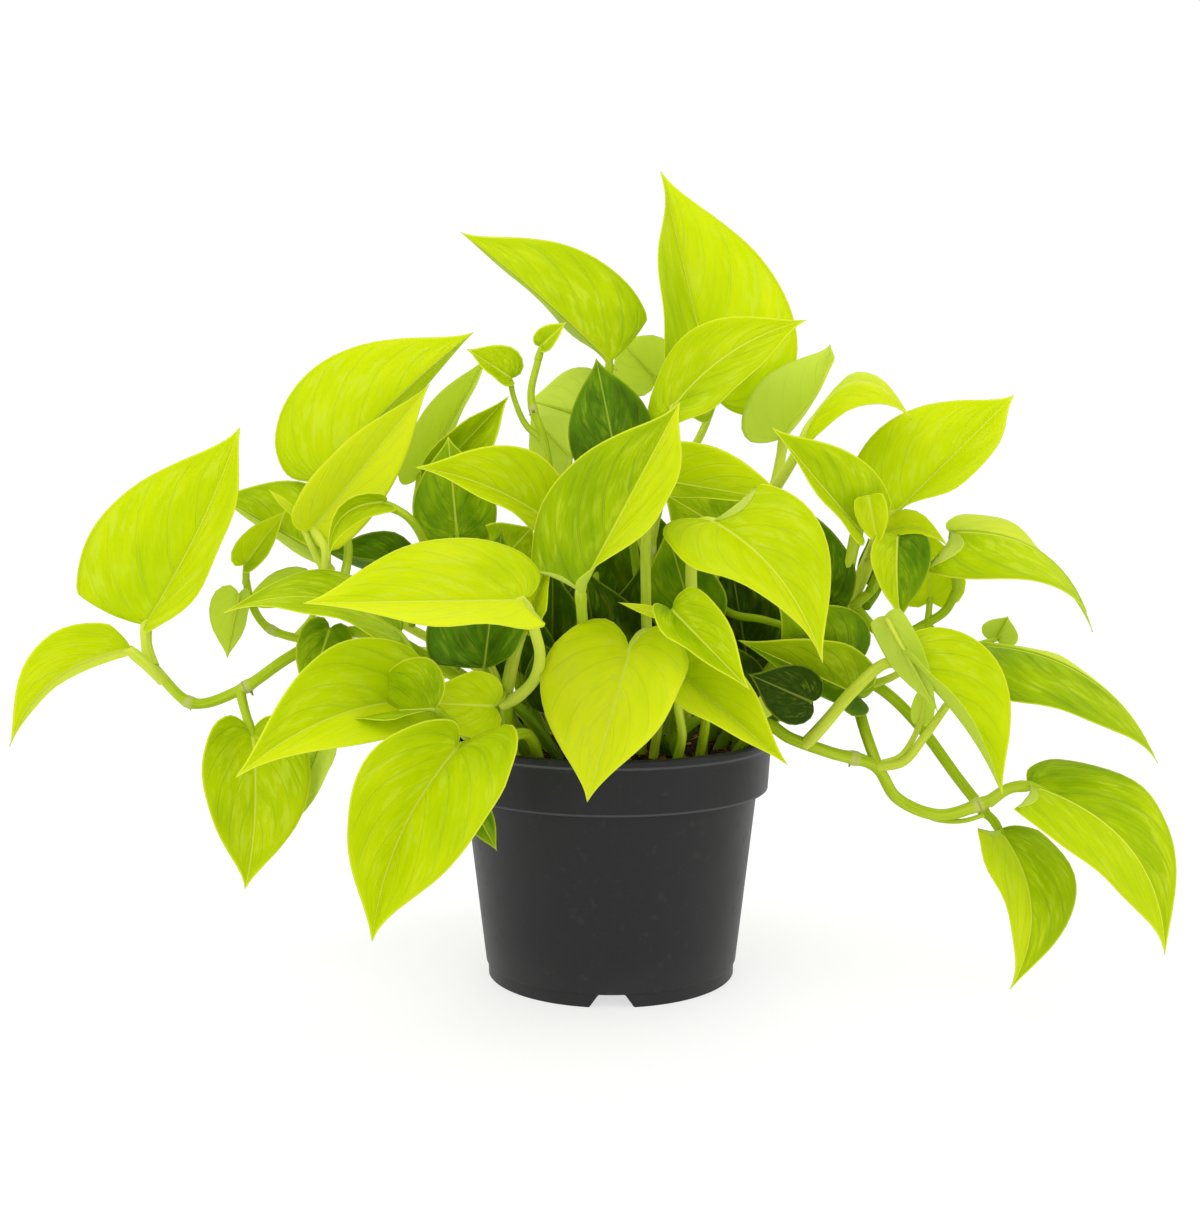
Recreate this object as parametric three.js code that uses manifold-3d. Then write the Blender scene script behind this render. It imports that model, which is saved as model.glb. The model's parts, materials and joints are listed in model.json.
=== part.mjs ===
// A chartreuse golden pothos (Epipremnum aureum) in a black nursery pot, in millimetres, +Z up.
// The origin is the centre of the pot's foot, on the surface that the pot stands on.
import * as THREE from "three";
import { mergeVertices } from "three/addons/utils/BufferGeometryUtils.js";
import Module from "manifold-3d";

const wasm = await Module();
wasm.setup();

// Driving dimensions of the pot.
const rimRadius = 82.5;
const potHeight = 123.8;
const lipRadius = 1.9;
const collarHeight = 27;
const collarRadius = 80.5;
const shoulderRadius = 75;
const baseRadius = 64.6;
const footRadius = 63.6;
const footHeight = 7;
const ringInner = 56;
const wallThickness = 1.8;
const floorThickness = 2.2;
const padRadius = 17;
const notchFoot = 22;
const notchHead = 13;
const notchCount = 4;
const drainRadius = 5;
const drainCircle = 40;
const drainCount = 6;
const edgeEase = 0.5;
const potFacets = 30;

// Driving dimensions of the soil and the plant.
const soilTop = 107;
const soilBump = 1.6;
const lumpWave = 35;
const clodWave = 19;
const soilRadius = 79;
const soilRings = [0.86, 0.64, 0.4, 0.18];
const rootDepth = 20;
const footRise = 6;
const bladeThickness = 0.85;
const gap = 0.32;
const stalkFoot = 2.5;
const stalkEnd = 1.6;
const stalkReach = 1.2;
const smallStalk = 1.7;
const smallStalkEnd = 1;
const stalkSides = 5;
const stemSides = 6;
const bendStep = 0.38;
const straightStep = 34;
const knotReach = 3;
const knotSwell = 1.28;

// The picture is seen from this point, pitched down, so a pixel and a depth along Y give a place.
const eye = new THREE.Vector3(-5.65, -801.3, 253.1);
const eyePitch = THREE.MathUtils.degToRad(4.82);
const eyeFocal = 1571.8;
const eyeMiddle = [600, 613];
const eyeForward = new THREE.Vector3(0, Math.cos(eyePitch), -Math.sin(eyePitch));
const eyeUp = new THREE.Vector3(0, Math.sin(eyePitch), Math.cos(eyePitch));

function at([across, down, depth]) {
  const ray = eyeForward
    .clone()
    .addScaledVector(new THREE.Vector3(1, 0, 0), (across - eyeMiddle[0]) / eyeFocal)
    .addScaledVector(eyeUp, (eyeMiddle[1] - down) / eyeFocal);
  return eye.clone().addScaledVector(ray, (depth - eye.y) / ray.y);
}

// The side that the picture doesn't show is given in millimetres instead.
function placed(thing, point) {
  return thing.hidden ? new THREE.Vector3(...point) : at(point);
}

// Solids, joins and cuts.
function solidOf(geometry) {
  const bare = geometry.index ? geometry.clone() : geometry;
  for (const name of Object.keys(bare.attributes)) {
    if (name !== "position") bare.deleteAttribute(name);
  }
  const merged = mergeVertices(bare, 1e-4);
  const corners = [...merged.index.array];
  const whole = corners.filter((_, i) => {
    const [a, b, c] = corners.slice(i - (i % 3), i - (i % 3) + 3);
    return a !== b && b !== c && c !== a;
  });
  return new wasm.Manifold(
    new wasm.Mesh({
      numProp: 3,
      vertProperties: new Float32Array(merged.attributes.position.array),
      triVerts: new Uint32Array(whole),
    }),
  );
}

function largest(solid) {
  return solid.decompose().reduce((a, b) => (a.volume() > b.volume() ? a : b));
}

function geometryOf(solid) {
  const mesh = solid.getMesh();
  const places = new Float32Array(mesh.numVert * 3);
  for (let i = 0; i < mesh.numVert; i += 1) {
    const start = i * mesh.numProp;
    places.set(mesh.vertProperties.subarray(start, start + 3), i * 3);
  }
  const geometry = new THREE.BufferGeometry();
  geometry.setAttribute("position", new THREE.BufferAttribute(places, 3));
  geometry.setIndex(new THREE.BufferAttribute(new Uint32Array(mesh.triVerts), 1));
  geometry.computeVertexNormals();
  return geometry;
}

function surface(points, faces) {
  const geometry = new THREE.BufferGeometry();
  const places = new Float32Array(points.flatMap((p) => [p.x, p.y, p.z]));
  geometry.setAttribute("position", new THREE.BufferAttribute(places, 3));
  geometry.setIndex(faces.flat());
  return geometry;
}

// A closed round tube along points, its radius running from the first to the last number.
// It has a ring wherever the path has turned enough, and three round each knot.
// With some spare it is that much larger all round.
function tube(points, [thick, thin], sides, spare = 0, knots = []) {
  const path = new THREE.CatmullRomCurve3(points, false, "centripetal");
  const length = path.getLength();
  const stops = [[0, 1]];
  const samples = Math.ceil(length / 2);
  let turn = 0;
  for (let i = 1; i < samples; i += 1) {
    const share = i / samples;
    turn += path.getTangentAt(share).angleTo(path.getTangentAt((i - 1) / samples));
    const stretch = (share - stops.at(-1)[0]) * length;
    const nearKnot = knots.some((knot) => Math.abs(share - knot) * length < 2 * knotReach);
    if (nearKnot || (turn < bendStep && stretch < straightStep)) continue;
    stops.push([share, 1]);
    turn = 0;
  }
  stops.push([1, 1]);
  for (const knot of knots) {
    const reach = knotReach / length;
    stops.push([knot - reach, 1], [knot, knotSwell]);
    if (knot + reach < 1) stops.push([knot + reach, 1]);
  }
  stops.sort((a, b) => a[0] - b[0]);
  const roundSides = spare > 0 ? sides + 1 : sides;
  const outset = spare > 0 ? 1 / Math.cos(Math.PI / roundSides) : 1;
  const corners = [];
  const normal = new THREE.Vector3(1, 0.2, 0.1);
  stops.forEach(([share, swell], i) => {
    const tangent = path.getTangentAt(share);
    normal.addScaledVector(tangent, -normal.dot(tangent)).normalize();
    const binormal = tangent.clone().cross(normal);
    const centre = path.getPointAt(share);
    if (i === 0) centre.addScaledVector(tangent, -spare);
    if (i === stops.length - 1) centre.addScaledVector(tangent, spare);
    const radius = (THREE.MathUtils.lerp(thick, thin, share) * swell + spare) * outset;
    for (let j = 0; j < roundSides; j += 1) {
      const angle = (2 * Math.PI * j) / roundSides;
      corners.push(
        centre
          .clone()
          .addScaledVector(normal, radius * Math.cos(angle))
          .addScaledVector(binormal, radius * Math.sin(angle)),
      );
    }
  });
  const faces = [];
  for (let i = 0; i + 1 < stops.length; i += 1) {
    for (let j = 0; j < roundSides; j += 1) {
      const a = i * roundSides + j;
      const b = i * roundSides + ((j + 1) % roundSides);
      faces.push([a, b, b + roundSides], [a, b + roundSides, a + roundSides]);
    }
  }
  const last = (stops.length - 1) * roundSides;
  for (let j = 1; j < roundSides - 1; j += 1) {
    faces.push([0, j + 1, j], [last, last + j, last + j + 1]);
  }
  return solidOf(surface(corners, faces));
}

// Half of a blade's outline: share of the length past the stalk, share of the half width.
const halfOutline = new THREE.SplineCurve(
  [
    [0, 0],
    [-0.07, 0.14],
    [-0.115, 0.4],
    [-0.06, 0.72],
    [0.07, 0.93],
    [0.23, 1],
    [0.4, 0.945],
    [0.57, 0.77],
    [0.72, 0.51],
    [0.84, 0.255],
    [0.93, 0.085],
    [1, 0],
  ].map(([along, across]) => new THREE.Vector2(along, across)),
);
const lobeReach = 0.12;
const bladeStations = [0, 0.13, 0.28, 0.43, 0.59, 0.78, 1];
const smallStations = [0, 0.15, 0.34, 0.56, 1];
const bladeColumns = [0.55, 1];
const smallColumns = [1];
const veinLag = 1.6;
const smallBlade = 42;
const rearLift = 70;
const veinSweep = 1.4;
const curlRise = 2.6;
const twistHeart = 0.4;
const bladeCup = 0.12;
const rippleHeight = 0.04;
const rippleRate = 11;
const rippleShift = 2.1;

const leafDefaults = {
  wide: 0.36,
  turn: [0, 0],
  bow: [0, 0.04],
  curl: [0, 0],
  twist: 0,
  lobe: [1, 1],
  under: false,
  hidden: false,
};

// The frame of a blade: its length, its axis, the viewer's right along it, and towards the viewer.
function bladeFrame(leaf) {
  const base = placed(leaf, leaf.base);
  const tip = placed(leaf, leaf.tip);
  const axis = tip.clone().sub(base);
  const length = axis.length();
  axis.normalize();
  const out = leaf.hidden ? new THREE.Vector3(base.x, base.y, rearLift) : eye.clone().sub(base);
  out.addScaledVector(axis, -out.dot(axis)).normalize();
  const right = axis.clone().cross(out);
  return { base, axis, out, right, length };
}

// A point of the blade: along is the share of its length, side -1 or 1, across the share of its half.
function bladePoint(leaf, frame, along, side, across) {
  const { base, axis, out, right, length } = frame;
  const half = leaf.wide * length;
  const bowed = 4 * along * (1 - along) * length;
  const curled = curlRise * (along - along ** 3) * length;
  const twist = THREE.MathUtils.degToRad(leaf.twist) * (along - twistHeart);
  const lift = THREE.MathUtils.degToRad(leaf.turn[side < 0 ? 0 : 1]) + side * twist;
  const droop = bladeCup * half * across * across * (leaf.under ? -1 : 1);
  const wave = Math.sin(rippleRate * along + rippleShift * side);
  const ripple = rippleHeight * half * across * across * wave;
  const sideways = half * across * Math.cos(lift) * side;
  const outwards = half * across * Math.sin(lift);
  const normalOut = Math.cos(lift) * (ripple - droop);
  const normalSide = -side * Math.sin(lift) * (ripple - droop);
  return base
    .clone()
    .addScaledVector(axis, along * length)
    .addScaledVector(right, leaf.bow[0] * bowed + leaf.curl[0] * curled + sideways + normalSide)
    .addScaledVector(out, leaf.bow[1] * bowed + leaf.curl[1] * curled + outwards + normalOut);
}

function blade(leaf) {
  const frame = bladeFrame(leaf);
  const small = leaf.hidden || frame.length < smallBlade;
  const stations = small ? smallStations : bladeStations;
  const columns = small ? smallColumns : bladeColumns;
  const points = [];
  const keys = new Map();
  const corner = (station, side, column) => {
    const edge = halfOutline.getPoint(stations[station]);
    const reach = edge.x < 0 ? edge.x * leaf.lobe[side < 0 ? 0 : 1] : edge.x;
    const past = station < 2 ? 0 : Math.max(0, (edge.x + lobeReach) / (1 + lobeReach));
    const rib = past ** veinLag;
    const share = column === 0 ? 0 : columns[column - 1];
    const along = THREE.MathUtils.lerp(rib, reach, share ** veinSweep);
    const place = bladePoint(leaf, frame, along, side, share * edge.y);
    const key = place
      .toArray()
      .map((v) => v.toFixed(3))
      .join();
    if (!keys.has(key)) {
      keys.set(key, points.length);
      points.push(place);
    }
    return keys.get(key);
  };
  const faces = [];
  for (const side of [-1, 1]) {
    for (let i = 0; i + 1 < stations.length; i += 1) {
      for (let j = 0; j < columns.length; j += 1) {
        const a = corner(i, side, j);
        const b = corner(i, side, j + 1);
        const c = corner(i + 1, side, j + 1);
        const d = corner(i + 1, side, j);
        const pair = [
          [a, b, c],
          [a, c, d],
        ];
        for (const [p, q, r] of pair) {
          if (p === q || q === r || p === r) continue;
          faces.push(side > 0 ? [p, q, r] : [p, r, q]);
        }
      }
    }
  }
  return thickened(points, faces, bladeThickness);
}

// A thin closed solid: the sheet, the same sheet moved back along its own normals, and its rim.
function thickened(points, faces, thickness) {
  const sheet = surface(points, faces);
  sheet.computeVertexNormals();
  const normals = sheet.attributes.normal;
  const count = points.length;
  const backs = points.map((p, i) =>
    p.clone().addScaledVector(new THREE.Vector3().fromBufferAttribute(normals, i), -thickness),
  );
  const edges = new Set(faces.flatMap(([a, b, c]) => [`${a},${b}`, `${b},${c}`, `${c},${a}`]));
  const rim = [...edges]
    .map((edge) => edge.split(",").map(Number))
    .filter(([a, b]) => !edges.has(`${b},${a}`))
    .flatMap(([a, b]) => [
      [b, a, a + count],
      [b, a + count, b + count],
    ]);
  const underside = faces.map(([a, b, c]) => [a + count, c + count, b + count]);
  return solidOf(surface([...points, ...backs], [...faces, ...underside, ...rim]));
}

// Stems: where each stands in the soil, then the pixels and depths that it passes.
const stems = {
  stem_left: {
    foot: [-40, -30],
    path: [
      [488, 700, -34],
      [440, 667, -44],
      [385, 636, -50],
      [335, 634, -50],
      [288, 658, -48],
      [240, 690, -46],
      [192, 703, -44],
      [152, 666, -42],
    ],
    thick: [3.4, 2.5],
    knots: [0.78, 0.9],
  },
  stem_left_back: {
    foot: [-40, 2],
    path: [
      [470, 680, 0],
      [400, 648, -4],
      [345, 642, -10],
      [296, 638, -14],
      [266, 626, -14],
      [251, 602, -14],
      [246, 580, -14],
    ],
    thick: [3, 2],
    knots: [0.86],
  },
  stem_left_sprout: {
    foot: [-28, -18],
    path: [
      [480, 670, -20],
      [410, 628, -24],
      [350, 596, -30],
      [322, 566, -32],
      [308, 538, -32],
      [297, 512, -32],
    ],
    thick: [3.2, 1.6],
    knots: [0.8],
  },
  stem_front_left: {
    foot: [-50, -44],
    path: [
      [507, 712, -54],
      [504, 690, -62],
    ],
    thick: [3.2, 3],
    knots: [0.98],
  },
  stem_centre_left: {
    foot: [-20, -8],
    path: [
      [566, 640, -2],
      [556, 560, 6],
      [553, 500, 12],
      [544, 440, 18],
      [531, 398, 20],
      [539, 356, 20],
    ],
    thick: [3.3, 1.8],
    knots: [0.88],
  },
  stem_centre: {
    foot: [6, 4],
    path: [
      [634, 640, 6],
      [648, 560, 12],
      [660, 490, 18],
      [668, 446, 20],
    ],
    thick: [3.4, 2.6],
    knots: [0.7, 0.97],
  },
  stem_centre_right: {
    foot: [30, 2],
    path: [
      [694, 640, 4],
      [728, 570, 8],
      [760, 520, 10],
      [776, 486, 10],
    ],
    thick: [3.3, 2.5],
    knots: [0.7, 0.97],
  },
  stem_right: {
    foot: [54, -8],
    path: [
      [768, 672, -8],
      [800, 634, -14],
      [828, 612, -18],
      [852, 607, -18],
      [878, 631, -16],
      [903, 634, -14],
      [925, 624, -12],
      [946, 610, -10],
      [957, 588, -10],
    ],
    thick: [3.4, 2.2],
    knots: [0.42, 0.76],
  },
  stem_right_long: {
    foot: [50, 16],
    path: [
      [770, 660, 12],
      [810, 650, 4],
      [846, 670, -2],
      [884, 691, -6],
      [917, 723, -8],
      [958, 778, -10],
      [986, 814, -12],
    ],
    thick: [3.3, 2.6],
    knots: [0.56, 0.98],
  },
  stem_right_low: {
    foot: [60, -30],
    path: [
      [764, 724, -36],
      [790, 738, -38],
      [832, 753, -38],
      [875, 766, -36],
      [897, 798, -36],
      [940, 815, -38],
      [992, 800, -40],
    ],
    thick: [2.8, 2.2],
    knots: [0.55, 0.96],
  },
  stem_back_left: {
    hidden: true,
    foot: [-30, 36],
    path: [
      [-40, 58, 142],
      [-56, 82, 154],
      [-72, 98, 146],
      [-76, 108, 122],
      [-66, 114, 96],
    ],
    thick: [3.2, 2],
    knots: [0.6, 0.82],
  },
  stem_back: {
    hidden: true,
    foot: [2, 44],
    path: [
      [-2, 64, 150],
      [-6, 86, 160],
      [-4, 106, 146],
      [4, 118, 120],
    ],
    thick: [3.2, 2],
    knots: [0.66, 0.84],
  },
  stem_back_right: {
    hidden: true,
    foot: [30, 38],
    path: [
      [42, 60, 146],
      [58, 82, 156],
      [74, 96, 144],
      [78, 106, 120],
    ],
    thick: [3.2, 2],
    knots: [0.66, 0.84],
  },
};

// Leaves: pixels and depths of the blade's two ends, how it is turned and bowed, and its stalk.
const leaves = [
  {
    name: "leaf_left_upright",
    base: [145, 625, -34],
    tip: [240, 427, -20],
    wide: 0.42,
    turn: [0, 79],
    bow: [0.03, 0.05],
    twist: -30,
    lobe: [0.2, 0.1],
    on: "stem_left",
    stalk: [
      [153, 667, -42],
      [147, 648, -38],
    ],
  },
  {
    name: "leaf_left_drooping",
    base: [131, 649, -51],
    tip: [10, 747, -70],
    wide: 0.28,
    turn: [-72, 24],
    bow: [0.14, 0.05],
    curl: [0.02, 0],
    lobe: [0.1, 0.15],
    on: "stem_left",
    stalk: [
      [163, 680, -43],
      [150, 668, -49],
    ],
  },
  {
    name: "leaf_left_hanging",
    base: [252, 732, -52],
    tip: [245, 890, -54],
    wide: 0.34,
    turn: [10, 30],
    bow: [-0.04, 0.04],
    lobe: [0.95, 0.95],
    on: "stem_left",
    stalk: [
      [240, 690, -46],
      [245, 711, -51],
    ],
  },
  {
    name: "leaf_left_behind",
    base: [322, 735, -30],
    tip: [281, 836, -36],
    wide: 0.36,
    turn: [55, 0],
    lobe: [0.5, 0.5],
    under: true,
    on: "stem_left",
    stalk: [
      [335, 634, -50],
      [338, 690, -40],
    ],
  },
  {
    name: "leaf_left_pale",
    base: [239, 594, -18],
    tip: [227, 658, -22],
    wide: 0.4,
    turn: [55, 0],
    under: true,
    within: "stem_left_back",
    stalk: [[251, 602, -14]],
  },
  {
    name: "leaf_left_curled",
    base: [245, 564, -14],
    tip: [286, 510, -10],
    turn: [30, 80],
    within: "stem_left_back",
    stalk: [[246, 584, -14]],
  },
  {
    name: "leaf_left_small",
    base: [310, 590, 2],
    tip: [240, 605, -2],
    wide: 0.38,
    turn: [60, 0],
    under: true,
    within: "stem_left_back",
    stalk: [
      [296, 638, -14],
      [314, 612, -6],
    ],
  },
  {
    name: "leaf_left_back",
    base: [318, 552, -12],
    tip: [216, 494, 4],
    wide: 0.45,
    turn: [-72, 0],
    on: "stem_left_sprout",
    stalk: [[324, 569, -32]],
  },
  {
    name: "leaf_left_tall",
    base: [325, 478, -8],
    tip: [474, 332, 10],
    wide: 0.38,
    turn: [0, -72],
    bow: [-0.03, 0.05],
    on: "stem_left_sprout",
    stalk: [
      [342, 590, -31],
      [348, 545, -18],
      [334, 505, -10],
    ],
  },
  {
    name: "leaf_left_yellow",
    base: [312, 530, -34],
    tip: [430, 384, -20],
    wide: 0.27,
    turn: [58, 42],
    lobe: [0.4, 0.4],
    on: "stem_left_sprout",
    stalk: [
      [326, 571, -32],
      [325, 548, -38],
    ],
  },
  {
    name: "leaf_left_arched",
    base: [386, 502, -50],
    tip: [329, 562, -66],
    wide: 0.3,
    turn: [20, 40],
    bow: [0.25, 0.02],
    lobe: [0.2, 0.2],
    on: "stem_left_back",
    stalk: [
      [455, 672, -1],
      [446, 610, -15],
      [428, 550, -32],
      [408, 517, -46],
    ],
  },
  {
    name: "leaf_left_dark",
    base: [404, 566, -6],
    tip: [325, 552, -8],
    wide: 0.4,
    turn: [-60, 20],
    on: "stem_left_sprout",
    stalk: [
      [410, 628, -24],
      [414, 600, -18],
      [412, 580, -10],
    ],
  },
  {
    name: "leaf_left_long",
    base: [400, 634, -66],
    tip: [223, 613, -82],
    wide: 0.34,
    turn: [76, -50],
    bow: [0.15, 0.05],
    lobe: [0.2, 0.2],
    foot: [-56, -37],
    stalk: [
      [470, 706, -58],
      [430, 676, -68],
    ],
  },
  {
    name: "leaf_left_shaded",
    base: [330, 628, -58],
    tip: [306, 700, -62],
    within: "stem_left",
    stalk: [[337, 634, -50]],
  },
  {
    name: "leaf_front_low",
    base: [426, 701, -86],
    tip: [235, 778, -142],
    wide: 0.32,
    turn: [62, 15],
    bow: [0.09, 0.05],
    lobe: [0.3, 0.5],
    foot: [-42, -54],
    stalk: [
      [498, 737, -62],
      [472, 733, -75],
      [450, 716, -86],
    ],
  },
  {
    name: "leaf_front_round",
    base: [493, 706, -86],
    tip: [396, 704, -124],
    wide: 0.38,
    turn: [68, 10],
    within: "stem_front_left",
    stalk: [
      [504, 692, -62],
      [500, 700, -72],
    ],
  },
  {
    name: "leaf_front_heart",
    base: [457, 748, -118],
    tip: [372, 942, -134],
    wide: 0.4,
    turn: [44, 48],
    bow: [0.08, 0.04],
    lobe: [1.8, 1],
    foot: [-34, -52],
    stalk: [
      [528, 735, -62],
      [505, 738, -76],
      [478, 742, -94],
    ],
  },
  {
    name: "leaf_front_tiny",
    base: [478, 790, -94],
    tip: [497, 851, -86],
    within: "leaf_front_heart",
    stalk: [
      [480, 741, -92],
      [484, 765, -95],
    ],
  },
  {
    name: "leaf_front_yellow",
    base: [524, 600, -118],
    tip: [303, 603, -160],
    wide: 0.33,
    turn: [75, -25],
    lobe: [0.15, 1],
    on: "stem_front_left",
    stalk: [
      [504, 692, -62],
      [524, 680, -86],
      [540, 658, -106],
      [536, 628, -116],
    ],
  },
  {
    name: "leaf_front_edge",
    base: [528, 628, -74],
    tip: [550, 557, -64],
    wide: 0.3,
    turn: [70, 70],
    within: "stem_front_left",
    stalk: [
      [504, 690, -62],
      [512, 655, -68],
    ],
  },
  {
    name: "leaf_front_shaded",
    base: [484, 668, -72],
    tip: [502, 530, -36],
    wide: 0.4,
    turn: [0, 65],
    lobe: [0.1, 0.2],
    within: "stem_front_left",
    stalk: [
      [504, 692, -62],
      [492, 682, -70],
    ],
  },
  {
    name: "leaf_middle_left",
    base: [545, 518, -44],
    tip: [415, 467, -60],
    turn: [78, 15],
    bow: [0.06, 0.03],
    lobe: [0.2, 1],
    on: "stem_centre_left",
    stalk: [
      [556, 560, 6],
      [560, 545, -22],
    ],
  },
  {
    name: "leaf_middle_dark",
    base: [457, 534, -24],
    tip: [448, 436, -14],
    wide: 0.42,
    foot: [-50, -8],
    stalk: [
      [484, 650, -8],
      [462, 580, -16],
    ],
  },
  {
    name: "leaf_back_pale",
    base: [420, 477, 48],
    tip: [488, 356, 64],
    wide: 0.27,
    turn: [35, 75],
    under: true,
    foot: [-48, 20],
    stalk: [
      [470, 640, 24],
      [430, 560, 32],
      [416, 510, 42],
    ],
  },
  {
    name: "leaf_back_crossing",
    base: [434, 474, 10],
    tip: [509, 396, 14],
    turn: [70, 45],
    foot: [-32, 14],
    stalk: [
      [500, 640, 10],
      [456, 550, 8],
      [440, 505, 9],
    ],
  },
  {
    name: "leaf_top_curled",
    base: [511, 378, 28],
    tip: [467, 349, 24],
    wide: 0.5,
    turn: [75, 10],
    within: "stem_centre_left",
    stalk: [
      [544, 440, 18],
      [526, 425, 25],
      [514, 398, 28],
    ],
  },
  {
    name: "leaf_top_tiny",
    base: [541, 346, 20],
    tip: [566, 322, 16],
    wide: 0.4,
    turn: [0, 60],
    within: "stem_centre_left",
    stalk: [[538, 360, 20]],
  },
  {
    name: "leaf_top_left",
    base: [610, 362, 24],
    tip: [460, 232, 40],
    wide: 0.335,
    turn: [-80, 0],
    bow: [0.02, 0.04],
    lobe: [0.15, 0.15],
    on: "stem_centre",
    stalk: [
      [648, 560, 12],
      [628, 500, 24],
      [613, 430, 27],
      [609, 390, 25],
    ],
  },
  {
    name: "leaf_top_back",
    base: [600, 420, 52],
    tip: [528, 400, 84],
    wide: 0.48,
    turn: [60, 0],
    under: true,
    foot: [-6, 22],
    stalk: [
      [590, 640, 30],
      [600, 540, 44],
      [608, 460, 50],
    ],
  },
  {
    name: "leaf_top_back_small",
    base: [572, 458, 28],
    tip: [530, 415, 40],
    wide: 0.5,
    under: true,
    within: "stem_centre_left",
    stalk: [
      [553, 500, 12],
      [566, 480, 24],
    ],
  },
  {
    name: "leaf_centre_dark",
    base: [617, 462, -10],
    tip: [596, 358, 6],
    wide: 0.39,
    on: "stem_centre",
    stalk: [
      [641, 600, 9],
      [632, 540, 4],
      [622, 500, -2],
    ],
  },
  {
    name: "leaf_top",
    base: [715, 398, 44],
    tip: [661, 171, 66],
    wide: 0.39,
    turn: [78, 0],
    bow: [0, 0.05],
    twist: -20,
    on: "stem_centre",
    stalk: [
      [660, 490, 18],
      [686, 460, 32],
      [704, 428, 41],
    ],
  },
  {
    name: "leaf_top_right",
    base: [672, 408, -6],
    tip: [807, 320, -14],
    wide: 0.27,
    turn: [0, 45],
    bow: [-0.09, 0.06],
    twist: -55,
    lobe: [1.5, 0.5],
    on: "stem_centre",
    stalk: [
      [650, 545, 13],
      [662, 490, 2],
      [668, 440, -5],
    ],
  },
  {
    name: "leaf_top_small",
    base: [655, 378, 56],
    tip: [618, 338, 76],
    wide: 0.5,
    under: true,
    within: "stem_centre",
    stalk: [
      [668, 446, 20],
      [664, 410, 42],
    ],
  },
  {
    name: "leaf_centre",
    base: [580, 592, -92],
    tip: [680, 402, -70],
    wide: 0.35,
    turn: [0, 72],
    twist: -55,
    lobe: [-0.3, 0.15],
    foot: [-12, -46],
    stalk: [
      [590, 700, -50],
      [585, 650, -62],
      [582, 615, -80],
    ],
  },
  {
    name: "leaf_centre_heart",
    base: [630, 650, -86],
    tip: [587, 802, -118],
    wide: 0.49,
    turn: [50, 0],
    lobe: [1.5, 1.5],
    foot: [20, -40],
    stalk: [
      [662, 700, -50],
      [668, 645, -60],
      [657, 614, -70],
      [640, 625, -80],
    ],
  },
  {
    name: "leaf_centre_right",
    base: [713, 521, -92],
    tip: [823, 663, -124],
    wide: 0.37,
    turn: [0, 57],
    bow: [-0.095, 0.05],
    twist: 50,
    lobe: [-0.6, 1.2],
    foot: [32, -30],
    stalk: [
      [690, 690, -42],
      [692, 620, -58],
      [692, 556, -74],
      [700, 524, -86],
    ],
  },
  {
    name: "leaf_centre_back",
    base: [660, 480, -42],
    tip: [797, 503, -60],
    wide: 0.31,
    turn: [20, 80],
    foot: [14, -24],
    stalk: [
      [648, 680, -28],
      [646, 600, -36],
      [648, 520, -42],
    ],
  },
  {
    name: "leaf_front_right",
    base: [672, 610, -104],
    tip: [750, 690, -128],
    wide: 0.32,
    turn: [25, 65],
    lobe: [0.4, 1],
    foot: [42, -46],
    stalk: [
      [706, 720, -54],
      [708, 662, -68],
      [694, 624, -92],
    ],
  },
  {
    name: "leaf_low_right",
    base: [678, 672, -76],
    tip: [788, 765, -106],
    wide: 0.34,
    turn: [38, 72],
    foot: [30, -54],
    stalk: [
      [682, 738, -62],
      [678, 704, -70],
    ],
  },
  {
    name: "leaf_right_dark",
    base: [845, 666, -24],
    tip: [778, 606, -46],
    wide: 0.45,
    on: "stem_right_long",
    stalk: [[846, 670, -2]],
  },
  {
    name: "leaf_right_shaded",
    base: [852, 692, -22],
    tip: [738, 640, -50],
    wide: 0.3,
    turn: [70, 30],
    on: "stem_right_long",
    stalk: [
      [872, 684, -5],
      [863, 694, -14],
    ],
  },
  {
    name: "leaf_right_rim",
    base: [812, 702, -66],
    tip: [748, 674, -84],
    foot: [62, -14],
    stalk: [
      [782, 714, -34],
      [806, 712, -54],
    ],
  },
  {
    name: "leaf_right_inner",
    base: [826, 603, -26],
    tip: [795, 498, -14],
    turn: [20, 35],
    on: "stem_right",
    stalk: [[828, 612, -18]],
  },
  {
    name: "leaf_right_raised",
    base: [860, 531, -36],
    tip: [772, 427, -48],
    wide: 0.35,
    turn: [86, 0],
    lobe: [0.3, 0.6],
    on: "stem_right",
    stalk: [
      [834, 610, -18],
      [846, 578, -28],
      [853, 548, -34],
    ],
  },
  {
    name: "leaf_right_big",
    base: [893, 515, -12],
    tip: [1014, 395, -2],
    wide: 0.42,
    turn: [0, 75],
    twist: -40,
    lobe: [0.6, 0.3],
    on: "stem_right",
    stalk: [
      [846, 608, -18],
      [860, 580, -16],
      [874, 548, -14],
      [883, 528, -13],
    ],
  },
  {
    name: "leaf_right_cupped",
    base: [872, 537, -18],
    tip: [856, 493, -26],
    wide: 0.5,
    turn: [20, 20],
    within: "leaf_right_big",
    stalk: [[870, 556, -14]],
  },
  {
    name: "leaf_right_hooked",
    base: [881, 536, -17],
    tip: [948, 546, -28],
    wide: 0.25,
    turn: [30, 70],
    bow: [-0.2, 0.02],
    within: "leaf_right_big",
    stalk: [[872, 552, -14]],
  },
  {
    name: "leaf_right_two_toned",
    base: [902, 620, -34],
    tip: [904, 533, -36],
    turn: [25, 25],
    on: "stem_right",
    stalk: [[903, 634, -14]],
  },
  {
    name: "leaf_right_behind",
    base: [938, 606, 0],
    tip: [930, 546, 2],
    wide: 0.5,
    within: "stem_right",
    stalk: [[928, 622, -12]],
  },
  {
    name: "leaf_right_out",
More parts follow.
